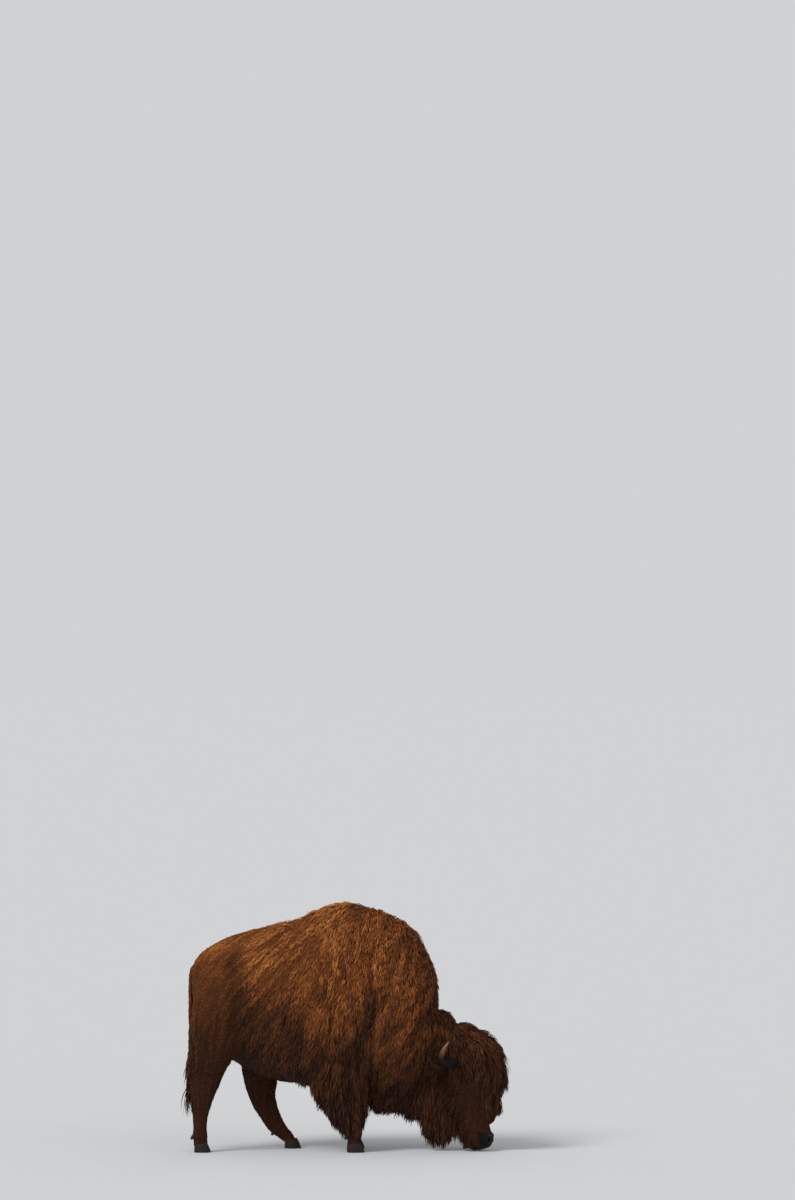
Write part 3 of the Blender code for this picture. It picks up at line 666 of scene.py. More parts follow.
# How the hair lies near a place. A row holds the place (along the body, out from its middle,
# up), the hair's direction (forward, outwards, up), the length and width of a lock, the degrees
# it stands off the skin, and how much it hangs at its end and waves. The head's rows are in the
# head's own frame.
Lie = namedtuple("Lie", "along length width stand hang wave")
BODY_LIE = (
    (-1.08, 0.03, 1.32, -0.60, 0.10, -0.80, 0.030, 0.0076, 22, 0.1, 0.1),
    (-0.98, 0.10, 1.44, -0.80, 0.20, -0.45, 0.032, 0.0080, 20, 0.1, 0.1),
    (-1.08, 0.15, 1.10, -0.20, 0.10, -1.00, 0.030, 0.0076, 18, 0.1, 0.1),
    (-0.90, 0.27, 1.08, -0.38, 0.00, -0.92, 0.032, 0.0080, 18, 0.1, 0.1),
    (-0.88, 0.24, 0.72, -0.30, 0.00, -0.95, 0.028, 0.0076, 18, 0.1, 0.1),
    (-1.05, 0.18, 0.46, -0.15, 0.00, -1.00, 0.022, 0.0066, 20, 0.1, 0.0),
    (-1.11, 0.00, 1.10, 0.00, 0.00, -1.00, 0.034, 0.0066, 16, 0.3, 0.1),
    (-1.11, 0.00, 0.80, 0.00, 0.00, -1.00, 0.040, 0.0066, 16, 0.3, 0.1),
    (-1.11, 0.00, 0.60, 0.00, 0.00, -1.00, 0.120, 0.0076, 18, 0.8, 0.4),
    (-1.11, 0.00, 0.46, 0.00, 0.00, -1.00, 0.235, 0.0086, 18, 0.9, 0.4),
    (-0.60, 0.20, 0.46, 0.20, 0.00, -1.00, 0.022, 0.0066, 20, 0.1, 0.0),
    (-1.04, 0.17, 0.20, 0.00, 0.00, -1.00, 0.017, 0.0056, 20, 0.0, 0.0),
    (-0.50, 0.17, 0.20, 0.20, 0.00, -1.00, 0.017, 0.0056, 20, 0.0, 0.0),
    (-0.70, 0.04, 1.57, -0.85, 0.40, -0.30, 0.040, 0.0088, 24, 0.1, 0.2),
    (-0.80, 0.20, 1.40, -0.60, 0.10, -0.80, 0.036, 0.0088, 22, 0.1, 0.2),
    (-0.60, 0.28, 1.15, -0.50, 0.00, -0.86, 0.055, 0.0095, 22, 0.2, 0.4),
    (-0.60, 0.26, 0.80, -0.42, 0.00, -0.90, 0.058, 0.0095, 22, 0.3, 0.5),
    (-0.38, 0.08, 0.50, -0.60, 0.10, -0.60, 0.030, 0.0080, 22, 0.2, 0.3),
    (-0.50, 0.06, 0.50, -0.60, 0.10, -0.70, 0.028, 0.0095, 24, 0.3, 0.4),
    (-0.76, 0.06, 0.66, -0.30, 0.00, -0.80, 0.024, 0.0080, 20, 0.2, 0.2),
    (-0.38, 0.14, 1.60, -0.60, 0.45, -0.60, 0.060, 0.0100, 30, 0.2, 0.5),
    (-0.34, 0.30, 1.20, -0.34, 0.00, -0.94, 0.080, 0.0100, 30, 0.4, 0.7),
    (-0.40, 0.28, 0.80, -0.34, 0.00, -0.94, 0.052, 0.0095, 22, 0.3, 0.5),
    (-0.29, 0.30, 0.85, -0.30, 0.00, -0.96, 0.120, 0.0100, 30, 0.5, 0.7),
    (-0.28, 0.24, 0.60, -0.32, 0.00, -0.95, 0.120, 0.0100, 30, 0.5, 0.6),
    (-0.05, 0.03, 1.75, -0.50, 0.60, -0.10, 0.075, 0.0105, 38, 0.4, 0.7),
    (0.02, 0.22, 1.55, -0.14, 0.20, -0.95, 0.085, 0.0105, 36, 0.5, 0.8),
    (0.03, 0.32, 1.20, -0.10, 0.00, -1.00, 0.100, 0.0105, 34, 0.6, 0.8),
    (0.00, 0.32, 0.88, -0.08, 0.00, -1.00, 0.115, 0.0105, 32, 0.7, 0.7),
    (0.30, 0.03, 1.65, -0.10, 0.70, -0.50, 0.085, 0.0105, 38, 0.5, 0.7),
    (0.34, 0.22, 1.35, -0.32, 0.10, -0.93, 0.095, 0.0105, 34, 0.6, 0.8),
    (0.34, 0.26, 0.95, -0.46, 0.00, -0.88, 0.105, 0.0105, 32, 0.6, 0.7),
    (0.60, 0.06, 1.20, -0.10, 0.50, -0.90, 0.085, 0.0100, 34, 0.5, 0.6),
    (0.55, 0.16, 0.85, -0.45, 0.10, -0.88, 0.095, 0.0100, 32, 0.6, 0.6),
    (0.42, 0.14, 0.52, -0.40, 0.00, -0.90, 0.115, 0.0100, 32, 0.7, 0.6),
    (0.30, 0.03, 0.36, -0.35, 0.00, -0.90, 0.100, 0.0100, 32, 0.7, 0.6),
    (0.08, 0.05, 0.48, -0.20, 0.10, -0.95, 0.080, 0.0095, 30, 0.5, 0.5),
    (0.08, 0.28, 0.60, -0.12, 0.00, -1.00, 0.110, 0.0100, 30, 0.7, 0.5),
    (-0.24, 0.24, 0.46, -0.28, 0.00, -0.95, 0.110, 0.0100, 32, 0.7, 0.5),
    (0.05, 0.24, 0.28, -0.02, 0.00, -1.00, 0.125, 0.0100, 30, 0.8, 0.5),
    (-0.08, 0.18, 0.26, -0.10, 0.00, -1.00, 0.130, 0.0100, 30, 0.8, 0.5),
    (0.12, 0.17, 0.22, 0.10, 0.00, -1.00, 0.095, 0.0095, 28, 0.6, 0.4),
    (0.07, 0.17, 0.09, 0.00, 0.00, -1.00, 0.018, 0.0058, 18, 0.0, 0.0),
    (0.76, 0.04, 0.26, 0.14, 0.06, -1.00, 0.130, 0.0100, 30, 0.7, 0.5),
    (0.64, 0.08, 0.34, -0.15, 0.10, -1.00, 0.130, 0.0100, 28, 0.8, 0.6),
    (0.62, 0.02, 0.16, -0.05, 0.00, -1.00, 0.150, 0.0100, 24, 0.9, 0.6),
)
HEAD_LIE = (
    (0.00, 0.02, 0.17, 0.80, 0.50, -0.05, 0.105, 0.0100, 27, 0.6, 0.6),
    (-0.12, 0.04, 0.12, -0.30, 0.50, -0.60, 0.090, 0.0100, 36, 0.5, 0.6),
    (0.00, 0.12, 0.06, 0.10, 0.60, -0.80, 0.110, 0.0100, 34, 0.7, 0.7),
    (-0.06, 0.03, 0.27, 0.25, 0.80, -0.35, 0.065, 0.0095, 26, 0.5, 0.6),
    (0.10, 0.03, 0.12, 0.85, 0.30, -0.10, 0.115, 0.0100, 38, 0.6, 0.7),
    (0.20, 0.04, 0.02, 0.70, 0.25, -0.60, 0.130, 0.0100, 38, 0.7, 0.6),
    (0.24, 0.04, -0.16, 0.10, 0.10, -1.00, 0.140, 0.0100, 33, 0.8, 0.5),
    (0.14, 0.13, -0.10, 0.05, 0.20, -1.00, 0.120, 0.0100, 30, 0.8, 0.5),
    (0.18, 0.04, -0.36, 0.03, 0.05, -1.00, 0.098, 0.0092, 29, 0.7, 0.5),
    (0.14, 0.04, -0.50, -0.12, 0.05, -1.00, 0.036, 0.0070, 18, 0.3, 0.3),
    (0.04, 0.14, -0.16, -0.35, 0.10, -0.90, 0.040, 0.0076, 26, 0.3, 0.3),
    (0.08, 0.12, -0.29, -0.40, 0.00, -0.90, 0.021, 0.0058, 22, 0.1, 0.1),
    (0.05, 0.10, -0.42, -0.45, 0.00, -0.90, 0.020, 0.0056, 22, 0.1, 0.1),
    (0.04, 0.14, -0.24, -0.40, 0.00, -0.85, 0.017, 0.0050, 20, 0.1, 0.1),
    (-0.02, 0.12, -0.46, -0.45, 0.00, -0.90, 0.023, 0.0058, 22, 0.1, 0.1),
    (-0.02, 0.14, -0.27, -0.50, 0.00, -0.85, 0.024, 0.0076, 26, 0.3, 0.3),
    (-0.12, 0.14, -0.24, -0.55, 0.10, -0.80, 0.070, 0.0088, 32, 0.6, 0.5),
    (0.00, 0.11, -0.38, -0.45, 0.00, -0.90, 0.020, 0.0066, 22, 0.3, 0.2),
    (-0.09, 0.02, -0.54, -0.60, 0.00, -0.75, 0.120, 0.0095, 44, 0.7, 0.5),
    (-0.12, 0.05, -0.44, -0.55, 0.00, -0.80, 0.130, 0.0080, 26, 0.6, 0.4),
    (0.09, 0.05, -0.56, -0.10, 0.10, -1.00, 0.014, 0.0054, 16, 0.1, 0.1),
    (0.00, 0.08, -0.56, -0.40, 0.00, -0.90, 0.014, 0.0054, 18, 0.1, 0.1),
    (0.06, 0.04, -0.68, -0.20, 0.10, -0.90, 0.008, 0.0040, 14, 0.0, 0.0),
    (-0.11, 0.16, -0.08, -0.20, 1.00, 0.15, 0.050, 0.0066, 34, 0.4, 0.4),
    (-0.15, 0.23, -0.03, -0.30, 1.00, 0.40, 0.055, 0.0066, 34, 0.5, 0.4),
    (-0.08, 0.03, -0.62, -0.70, 0.00, -0.60, 0.075, 0.0062, 24, 0.5, 0.3),
)


def lie_at(points):
    """The coat's lie at each point, blended from the rows nearest to it."""
    h = in_head(points)
    blends = []
    for rows, where, carry in ((BODY_LIE, points, np.eye(3)),
                               (HEAD_LIE, h, np.array(AT_HEAD)[:3, :3])):
        rows = np.array(rows)
        near = folded(where)
        gap = ((near[:, None, :] - rows[None, :, :3]) * (1.0, 0.9, 1.0)) ** 2
        weight = 1 / (gap.sum(2) + 0.0006) ** 2
        weight /= weight.sum(1, keepdims=True)
        direction = weight @ rows[:, 3:6]
        direction[:, 1] *= np.sign(where[:, 1] + 1e-6) * np.minimum(1.0, near[:, 1] / 0.03)
        blends.append(np.hstack([direction @ carry.T, weight @ rows[:, 6:]]))
    on_head = ramp(-0.22, -0.12, h[:, 0]) * ramp(0.60, 0.68, points[:, 0])
    mixed = blends[0] + (blends[1] - blends[0]) * on_head[:, None]
    return Lie(mixed[:, :3], *mixed[:, 3:].T)


def combed(points, normals, lie):
    """Which way hair runs over the skin, and across it, with the ripple neighbours share."""
    along = lie.along - normals * (lie.along * normals).sum(1, keepdims=True)
    flat = np.linalg.norm(along, axis=1, keepdims=True)
    along = unit(along + np.array((0, 0, -1)) * (flat < 0.2) * 0.3)
    x, y, z = points.T
    phase = (2 * math.pi * z / RIPPLE_LENGTH + 2.5 * np.sin(9 * x + 4 * y)
             + 1.5 * np.sin(21 * x - 6 * z + 5 * y))
    return turned(along, np.cross(normals, along), 0.28 * lie.wave * np.sin(phase))


def turned(along, side, angle):
    """Two directions on the skin, turned by an angle from `along` towards `side`."""
    cos, sin = np.cos(angle)[:, None], np.sin(angle)[:, None]
    return along * cos + side * sin, side * cos - along * sin


def tree_of(points):
    """A search tree that finds the point nearest to a place."""
    tree = kdtree.KDTree(len(points))
    for i, point in enumerate(points):
        tree.insert(point, i)
    tree.balance()
    return tree


def ridges_on(skin):
    """Ridges and furrows of the wool, drawn out along its lie, and their slope across it."""
    points, normals = places(skin), normals_of(skin)
    along, side = combed(points, normals, lie_at(points))
    tree = tree_of(points)
    ahead, behind, left, right = (
        np.array([tree.find(spot)[1] for spot in points + step])
        for step in (along * 0.016, along * -0.016, side * 0.012, side * -0.012))
    ridge = np.random.default_rng(RNG_SEED).normal(size=len(points))
    for _ in range(RIDGE_PASSES):
        ridge = 0.5 * ridge + 0.25 * (ridge[ahead] + ridge[behind])
    ridge = np.tanh(ridge / ridge.std())
    return ridge, (ridge[left] - ridge[right]) / 0.024


# ---- Locks ----------------------------------------------------------------------------------

LOCK_BREADTH = 0.58             # across a lock and through it, as shares of its width
LOCK_DEPTH = 0.30
PATCH = 0.003                   # of the unwrap, for the colour of one lock
FLOOR_GAP = 0.003

# A stretch of coat: its name, segments of each lock, most triangles, locks drawn together in
# one bunch, and its slot
Coat = namedtuple("Coat", "name segments most clump slot")
COATS = (
    Coat("coat_hump", 3, 180000, 9, "cape_hair"),
    Coat("coat_shoulder", 3, 190000, 9, "cape_hair"),
    Coat("coat_neck", 3, 180000, 9, "cape_hair"),
    Coat("coat_mane", 3, 130000, 8, "cape_hair"),
    Coat("coat_flank", 3, 190000, 6, "cape_hair"),
    Coat("coat_rump", 2, 150000, 4, "cape_hair"),
    Coat("coat_bonnet", 4, 170000, 8, "dark_hair"),
    Coat("coat_face", 2, 90000, 4, "dark_hair"),
    Coat("coat_beard", 4, 100000, 7, "dark_hair"),
    Coat("coat_chaps", 4, 150000, 7, "leg_hair"),
    Coat("coat_legs", 2, 90000, 3, "leg_hair"),
    Coat("coat_tail", 4, 28000, 6, "dark_hair"),
    Coat("coat_ears", 3, 20000, 4, "dark_hair"),
)
COAT_NUMBER = {coat.name: i for i, coat in enumerate(COATS)}


def coat_at(points):
    """The number of the stretch of coat that each point of the skin belongs to."""
    x, y, z = folded(points).T
    hx, hy, hz = folded(in_head(points)).T
    hind = (x < -0.335) & (z < np.interp(x, (-0.80, -0.70, -0.55), (0.56, 0.60, 0.47)))
    front = (np.abs(x - 0.07) < 0.13) & (z < 0.145) & (y > 0.1)
    head = (hx > -0.19) & (x > 0.64)
    cheek = (hx > -0.09) & (hx < 0.10) & (hz < -0.19) & (hy > 0.055)
    eye = around_eye(in_head(points)) < 0.055
    beside = (hy > 0.148) & (hy < 0.30) & (x > 0.45)
    number = np.full(len(points), COAT_NUMBER["coat_shoulder"])
    # A later stretch takes its place from the earlier ones
    for name, where in (
            ("coat_hump", z > 1.28),
            ("coat_neck", (x > 0.185) | ((x > 0.10) & (z > 1.28))),
            ("coat_mane", (x > 0.185) & (z < 0.95)),
            ("coat_flank", x < -0.335),
            ("coat_rump", x < -0.76),
            ("coat_chaps", (z < 0.62) & (np.abs(x + 0.07) < 0.265)),
            ("coat_beard", (z < 0.60) & (x > 0.195)),
            ("coat_legs", hind | front),
            ("coat_bonnet", head),
            ("coat_face", head & ((hz < -0.47) | cheek | eye)),
            ("coat_beard", (z < 0.37) & (x > 0.20) & (hx < -0.125)),
            ("coat_tail", (x < TAIL_X + 0.024) & (y < 0.028) & (z < 1.22)),
            ("coat_ears", beside & (np.abs(hx + 0.13) < 0.05) & (np.abs(hz + 0.05) < 0.07))):
        number[where] = COAT_NUMBER[name]
    return number


def bald_at(points):
    """1 on nose, lips and eyelids, where no lock grows, and 0 in the coat."""
    h = in_head(points)
    hx, hy, hz = h[:, 0], np.abs(h[:, 1]), h[:, 2]
    ragged = 0.006 * np.sin(150 * h[:, 1] + 90 * hx) + 0.004 * np.sin(330 * h[:, 1] + 1.0)
    pad = ramp(-0.590, -0.602, hz + ragged - 0.45 * (0.09 - hx)) * ramp(
        0.018, 0.030, hx + ragged)
    lips = ramp(-0.676, -0.688, hz)
    lids = np.hypot((hx - EYE_IN_HEAD.x) / 0.0215, (hz - EYE_IN_HEAD.z) / 0.0165)
    eye = (1 - ramp(0.95, 1.05, lids)) * (around_eye(h) < 0.05)
    return np.maximum(np.maximum(pad, lips), eye)


def read_skin():
    """The skin's triangles as arrays: corner points, normals, unwrap places, and ridges."""
    skin = bpy.data.objects["skin"]
    data = skin.data
    data.calc_loop_triangles()
    corners = values_of(data.loop_triangles, "vertices", 3, np.int32)
    loops = values_of(data.loop_triangles, "loops", 3, np.int32)
    ridges = np.hstack([values_of(data.attributes[name].data, "value")
                        for name in ("ridge", "slope")])
    return (places(skin)[corners], normals_of(skin)[corners],
            values_of(data.uv_layers["OFBake"].data, "uv", 2)[loops], ridges[corners])


def take_roots(coat, sizes, rng):
    """Evenly strewn roots of one stretch: places, normals, unwrap places, ridges and lie."""
    skin = read_skin()
    middles = skin[0].mean(1)
    mine = coat_at(middles) == COAT_NUMBER[coat.name]
    mine &= (bald_at(middles) < 0.5) & (middles[:, 2] > HOOF_HEIGHT - 0.006)
    skin = [values[mine] for values in skin]
    points = skin[0]
    area = np.linalg.norm(np.cross(points[:, 1] - points[:, 0], points[:, 2] - points[:, 0]),
                          axis=1) / 2
    lie = lie_at(points.mean(1))
    # Long hair lies in more layers than short hair
    layers = sizes.thickness * (2.2 + 5.8 * ramp(0.02, 0.10, lie.length))
    total = np.cumsum(area * layers / (0.6 * lie.length * lie.width))
    count = int(min(total[-1], coat.most / (6 * coat.segments - 2)))
    picks = (np.arange(count) + rng.random(count)) / count * total[-1]
    chosen = np.minimum(np.searchsorted(total, picks), len(total) - 1)
    share = rng.random((count, 2))
    over = share.sum(1) > 1
    share[over] = 1 - share[over]
    weights = np.stack([1 - share.sum(1), share[:, 0], share[:, 1]], 1)[:, :, None]
    roots, normals, at, ridges = ((values[chosen] * weights).sum(1) for values in skin)
    return roots, unit(normals), at, ridges, lie_at(roots)


def lock_paths(roots, normals, ridges, lie, coat, sizes, rng):
    """The middle line of each lock, from just under the skin to its tip, and its length."""
    count = len(roots)
    ridge, slope = ridges.T
    along, side = turned(*combed(roots, normals, lie), rng.normal(0, 0.08 + 0.08 * lie.wave, count))
    length = lie.length * sizes.length * rng.uniform(0.66, 1.22, count)
    length *= 0.40 + 0.60 * ramp(0.022, 0.070, around_eye(in_head(roots)))
    stand = np.radians(lie.stand) * rng.uniform(0.65, 1.35, count) * (1 + 0.30 * ridge)
    phase = rng.uniform(0, 1, count)
    turns = rng.uniform(0.35, 0.85, count)
    # Tips lean over to the nearest ridge, so that furrows open between the ridges
    lean = np.clip(slope * 0.0022 * lie.length, -0.013, 0.013) * ramp(0.02, 0.06, lie.length)
    path = [roots - normals * np.minimum(0.003, 0.10 * length)[:, None]]
    for k in range(coat.segments):
        s = (k + 0.5) / coat.segments
        angle = (stand * (1.45 - 1.5 * s))[:, None]
        heading = along * np.cos(angle) + normals * np.sin(angle)
        heading = unit(heading + np.array((0, 0, -1.0)) * (lie.hang * s)[:, None])
        sway = np.cos(2 * math.pi * (s * turns + phase)) * lie.wave * sizes.wave * 0.6
        heading = unit(heading + side * sway[:, None])
        path.append(path[-1] + heading * (length / coat.segments)[:, None]
                    + side * (lean / coat.segments)[:, None])
    path = np.stack(path, 1)
    gather(path, coat.clump, rng)
    clear_eyes(path)
    path[:, :, 2] = np.maximum(path[:, :, 2], FLOOR_GAP + 0.001)
    return path, length


def clear_eyes(path):
    """Shortens the locks that would hang over an eye."""
    for side in SIDES.values():
        middle, out, forward, up = eye_axes(side)
        gap = path - middle
        wide, tall = gap @ forward, gap @ up
        zone = np.hypot(wide / 0.036, tall / 0.030)
        slit = np.hypot(wide / 0.0185, tall / 0.0120)
        over = np.where(zone[:, :1] > 1, zone < 1, slit < 1) & (gap @ out > -0.02)
        over[:, 0] = False
        first = np.where(over.any(1), over.argmax(1), path.shape[1])
        keep = np.clip((first - 0.55) / (path.shape[1] - 1), 0.12, 1.0)
        path[:] = path[:, :1] + (path - path[:, :1]) * keep[:, None, None]


def gather(path, clump, rng):
    """Draws neighbouring locks together towards their tips, one bunch per `clump` locks."""
    count, stops = path.shape[:2]
    leaders = rng.choice(count, max(count // clump, 1), replace=False)
    tree = tree_of(path[leaders, 0])
    nearest = np.array([tree.find(p)[1] for p in path[:, 0]])
    pull = 0.50 * (np.arange(stops) / (stops - 1)) ** 1.2
    pull = pull[None, :, None] * rng.uniform(0.5, 1.15, count)[:, None, None]
    path += (path[leaders[nearest]] - path) * pull


def lock_pattern(segments):
    """One lock's corner numbers, corners per face, and each corner's (around, along)."""
    corners, sizes, spots = [2, 1, 0], [3], [(0.7, -0.15), (0.35, -0.3), (0.0, -0.15)]
    for k in range(segments):
        low, high = k / segments, (k + 1) / segments
        for i in range(3):
            a, b = 3 * k + i, 3 * k + (i + 1) % 3
            left, right = i / 3, (i + 1) / 3
            spots += [(left, low), (right, low)]
            if k < segments - 1:
                corners += [a, b, b + 3, a + 3]
                spots += [(right, high), (left, high)]
                sizes.append(4)
            else:
                corners += [a, b, 3 * segments]
                spots.append(((left + right) / 2, high))
                sizes.append(3)
    return np.array(corners), np.array(sizes), np.array(spots)


def make_locks(coat, sizes):
    """One stretch of coat as a mesh of closed, tapering three-sided locks."""
    rng = np.random.default_rng(RNG_SEED + COAT_NUMBER[coat.name])
    roots, normals, at, ridges, lie = take_roots(coat, sizes, rng)
    path, length = lock_paths(roots, normals, ridges, lie, coat, sizes, rng)
    count, segments = len(roots), coat.segments
    width = (lie.width * sizes.width * rng.uniform(0.6, 1.3, count))[:, None]
    share = np.arange(segments) / segments
    profile = np.interp(share, (0.0, 0.25, 0.5, 0.75, 1.0), (0.70, 1.0, 0.86, 0.55, 0.0))
    heading = unit(np.diff(path, axis=1))
    across = unit(np.cross(normals[:, None, :], heading))
    rise = np.cross(heading, across)
    twist = rng.normal(0, 0.35, (count, 1)) + np.outer(rng.normal(0, 0.5, count), share)
    rings = []
    for i in range(3):
        turn = 2 * math.pi * (i / 3 + 0.25) + twist
        side_step = np.cos(turn) * width * profile * LOCK_BREADTH
        up_step = np.sin(turn) * width * profile * LOCK_DEPTH
        rings.append(path[:, :-1] + across * side_step[..., None] + rise * up_step[..., None])
    rings = np.stack(rings, 2).reshape(count, segments * 3, 3)
    points = np.concatenate([rings, path[:, -1:]], 1)
    points[:, :, 2] = np.maximum(points[:, :, 2], FLOOR_GAP)
    corners, face_sizes, spots = lock_pattern(segments)
    data = copies_of(coat.name, points, corners, face_sizes)
    set_map(data, "OFBake", at[:, None, :] + (spots[None] - (0.5, 0.5)) * PATCH)
    strand = spots[None] + rng.uniform(0, 40, (count, 1, 2))
    strand[..., 1] += spots[None, :, 1] * (length[:, None] * 10 - 1)
    set_map(data, "strand", strand)
    # Short hair shows less of its dark roots and of the difference between locks; both are partly
    # painted shade
    depth = 0.35 + 0.65 * ramp(0.008, 0.060, length)
    along = np.append(np.repeat(share, 3), 1.0)
    set_value(data, "along", 0.55 + np.outer(depth, along - 0.55))
    # Locks in the wool's furrows are painted darker and on its ridges lighter, as painted shade and
    # light; the rest of the tone is random
    tone = 0.5 + (0.50 * ridges[:, 0] + rng.normal(0, 0.11, count)) * depth
    shade = shade_at(path[:, (segments + 1) // 2]) + rng.normal(0, 0.035, count)
    # Painted shade in the furrows, painted light on the ridges
    shade += 0.09 * ridges[:, 0]
    for name, values in (("shade", shade), ("tone", tone)):
        set_value(data, name, np.repeat(np.clip(values, 0, 1), points.shape[1]))
    return new_object(coat.name, data)


def copies_of(name, points, corners, face_sizes):
    """A mesh of many copies of one pattern of faces, each on its own row of points."""
    count, each = points.shape[:2]
    data = bpy.data.meshes.new(name)
    data.vertices.add(count * each)
    data.vertices.foreach_set("co", points.astype(np.float32).ravel())
    corners = (corners[None] + np.arange(count)[:, None] * each).ravel()
    data.loops.add(len(corners))
    data.loops.foreach_set("vertex_index", corners.astype(np.int32))
    ends = np.cumsum(np.tile(face_sizes, count))
    data.polygons.add(len(ends))
    data.polygons.foreach_set("loop_start", np.append(0, ends[:-1]).astype(np.int32))
    data.update(calc_edges=True)
    data.shade_smooth()
    return data


def set_map(data, name, values):
    layer = data.uv_layers.new(name=name, do_init=False)
    layer.data.foreach_set("uv", values.astype(np.float32).ravel())


def set_value(data, name, values):
    layer = data.attributes.new(name, "FLOAT", "POINT")
    layer.data.foreach_set("value", values.astype(np.float32).ravel())


# ---- Horns, hooves and eyes -----------------------------------------------------------------

CLAW_SIZES = {"foreleg": (0.126, 0.060), "hindleg": (0.118, 0.056)}
# Path of a dewclaw: from the back of the pastern, from the leg's line, height, radius
DEWCLAW = ((0.026, 0.019, 0.126, 0.012), (0.004, 0.023, 0.112, 0.0128),
           (-0.007, 0.024, 0.099, 0.0095), (-0.011, 0.024, 0.092, 0.0035))


def make_horn(name, side):
    """Out from beside the poll, then up and a little forward, ringed near its base."""
    # Each row: forward, share of the reach outwards, up, and share of the base's radius
    path = ((-0.010, 0.30, -0.058, 1.00), (-0.020, 0.50, -0.064, 1.00),
            (-0.046, 0.74, -0.062, 0.84), (-0.062, 0.94, -0.030, 0.64),
            (-0.036, 1.00, 0.030, 0.40), (0.012, 0.96, 0.086, 0.10))
    rows = smooth_rows([(x, out * HORN_REACH * side, z, HORN_RADIUS * share)
                        for x, out, z, share in path], 14)
    run = np.append(0, np.cumsum(np.linalg.norm(np.diff(rows[:, :3], axis=0), axis=1)))
    sections = []
    for row, along, length in zip(rows, headings(rows), run):
        side_way = unit(np.array((1.0, 0, 0)) - along * along[0])
        worn = ramp(0.24, 0.10, length)
        ringed = 1 + worn * 0.022 * math.sin(length * 2 * math.pi / 0.021)
        ringed += worn * 0.012 * math.sin(length * 2 * math.pi / 0.0083 + 1.0)
        radius = row[3] * ringed * 0.985
        sections.append(oval(row[:3], np.cross(along, side_way), side_way, radius, radius,
                             radius * 0.96, corners=HORN_CORNERS))
    tip = rows[-1][:3] + unit(rows[-1][:3] - rows[-2][:3]) * 0.0035
    sections.append(tip + (sections[-1] - rows[-1][:3]) * 0.45)
    points, faces = loft(sections)
    horn = mesh_from(name, carried(AT_HEAD, points), faces)
    outwards(horn)
    set_value(horn.data, "run", np.repeat(np.append(run, run[-1]), HORN_CORNERS))
    horn.data.shade_smooth()
    return horn


def make_claw(name, leg, side, toe_side):
    """One half of a cloven hoof: flat-soled, pointed and steep in front, low at the heel."""
    length, width = CLAW_SIZES[leg.split("_")[0]]
    x = STEP.x + FEET[leg][0] + 0.006
    y = STEP.y + LEG_SPREAD * side + toe_side * (width * 0.36 + 0.0028)
    bpy.ops.object.select_all(action="DESELECT")
    bpy.ops.mesh.primitive_cylinder_add(vertices=40, radius=0.5, depth=1.0,
                                        location=(0, 0, 0.5), end_fill_type="NGON")
    claw = bpy.context.object
    claw.name = name
    bpy.ops.object.transform_apply(location=True)
    for height in np.linspace(0, 1, 12)[1:-1]:
        edit_whole(claw, bpy.ops.mesh.bisect, plane_co=(0, 0, height), plane_no=(0, 0, 1))
    points = places(claw)
    along, across, rise = points[:, 0] * 2, points[:, 1] * 2 * toe_side, points[:, 2]
    long, wide, back = (np.interp(rise, (0, 0.5, 1), stops) for stops in (
        (1.0, 0.89, 0.72), (1.0, 1.0, 0.84), (0.0, 0.055, 0.130)))
    breadth = np.where(across > 0, 1.0, 0.72) * (1 - 0.30 * np.maximum(0, along))
    # Rounded rim of the sole, growth rings and the swelling under the hair
    rim = 1 - 0.03 * (rise < 0.02) + 0.010 * np.sin(rise * 40) * (rise < 0.9)
    points[:, 0] = x + length * (0.5 * long * along * rim - back)
    points[:, 1] = y + toe_side * width * 0.5 * wide * across * breadth * rim
    points[:, 2] = HOOF_HEIGHT * rise * (0.96 + 0.13 * along)
    place_points(claw, points)
    outwards(claw)
    apply_modifier(claw, "BEVEL", width=0.0022, segments=2, limit_method="ANGLE",
                   angle_limit=math.radians(50))
    select_only(claw)
    bpy.ops.object.shade_smooth_by_angle(angle=math.radians(45))
    return claw


def make_dewclaws(name, leg, side):
    """The two stubs of horn behind a fetlock."""
    back, line = FEET[leg][1], LEG_SPREAD * side
    made = []
    for toe_side in (1, -1):
        points, faces = tube_form([(back + x, line + toe_side * out, z, radius)
                                   for x, out, z, radius in DEWCLAW], corners=16, steps=4)
        made.append(mesh_from(name, carried(AT_BODY, points), faces))
    stubs, other = made
    join(stubs, [other])
    outwards(stubs)
    stubs.data.shade_smooth()
    stubs.name = name
    return stubs


def eye_axes(side):
    """The eye's middle and its axes: out of the eye, forward along the lids, and up."""
    middle = AT_HEAD @ Vector((EYE_IN_HEAD.x, side * EYE_IN_HEAD.y, EYE_IN_HEAD.z))
    turn = AT_HEAD.to_3x3()
    out = (turn @ Vector((0.36, side * 1.0, 0.02))).normalized()
    up = (turn @ Vector((0.18, 0, 1))).normalized()
    up = (up - out * up.dot(out)).normalized()
    return np.array(middle), np.array(out), np.array(up.cross(out) * side), np.array(up)


def make_eye(name, side):
    """The eyeball with its clear bulge; `off_axis` and `level` carry iris and pupil."""
    middle, out, forward, up = eye_axes(side)
    bpy.ops.object.select_all(action="DESELECT")
    bpy.ops.mesh.primitive_uv_sphere_add(segments=48, ring_count=32, radius=EYE_RADIUS)
    eye = bpy.context.object
    eye.name = name
    points = places(eye) / EYE_RADIUS
    off_axis = np.hypot(points[:, 0], points[:, 1])
    front = points[:, 2] > 0
    set_value(eye.data, "off_axis", np.where(front, off_axis, 1.0))
    set_value(eye.data, "level", points[:, 1])
    bulge = 1 + np.where(front, 0.05 * (1 - ramp(0.35, 0.72, off_axis)), 0)
    points = points * bulge[:, None] * EYE_RADIUS
    place_points(eye, middle + points @ np.stack([forward, up, out]))
    outwards(eye)
    eye.data.shade_smooth()
    return eye


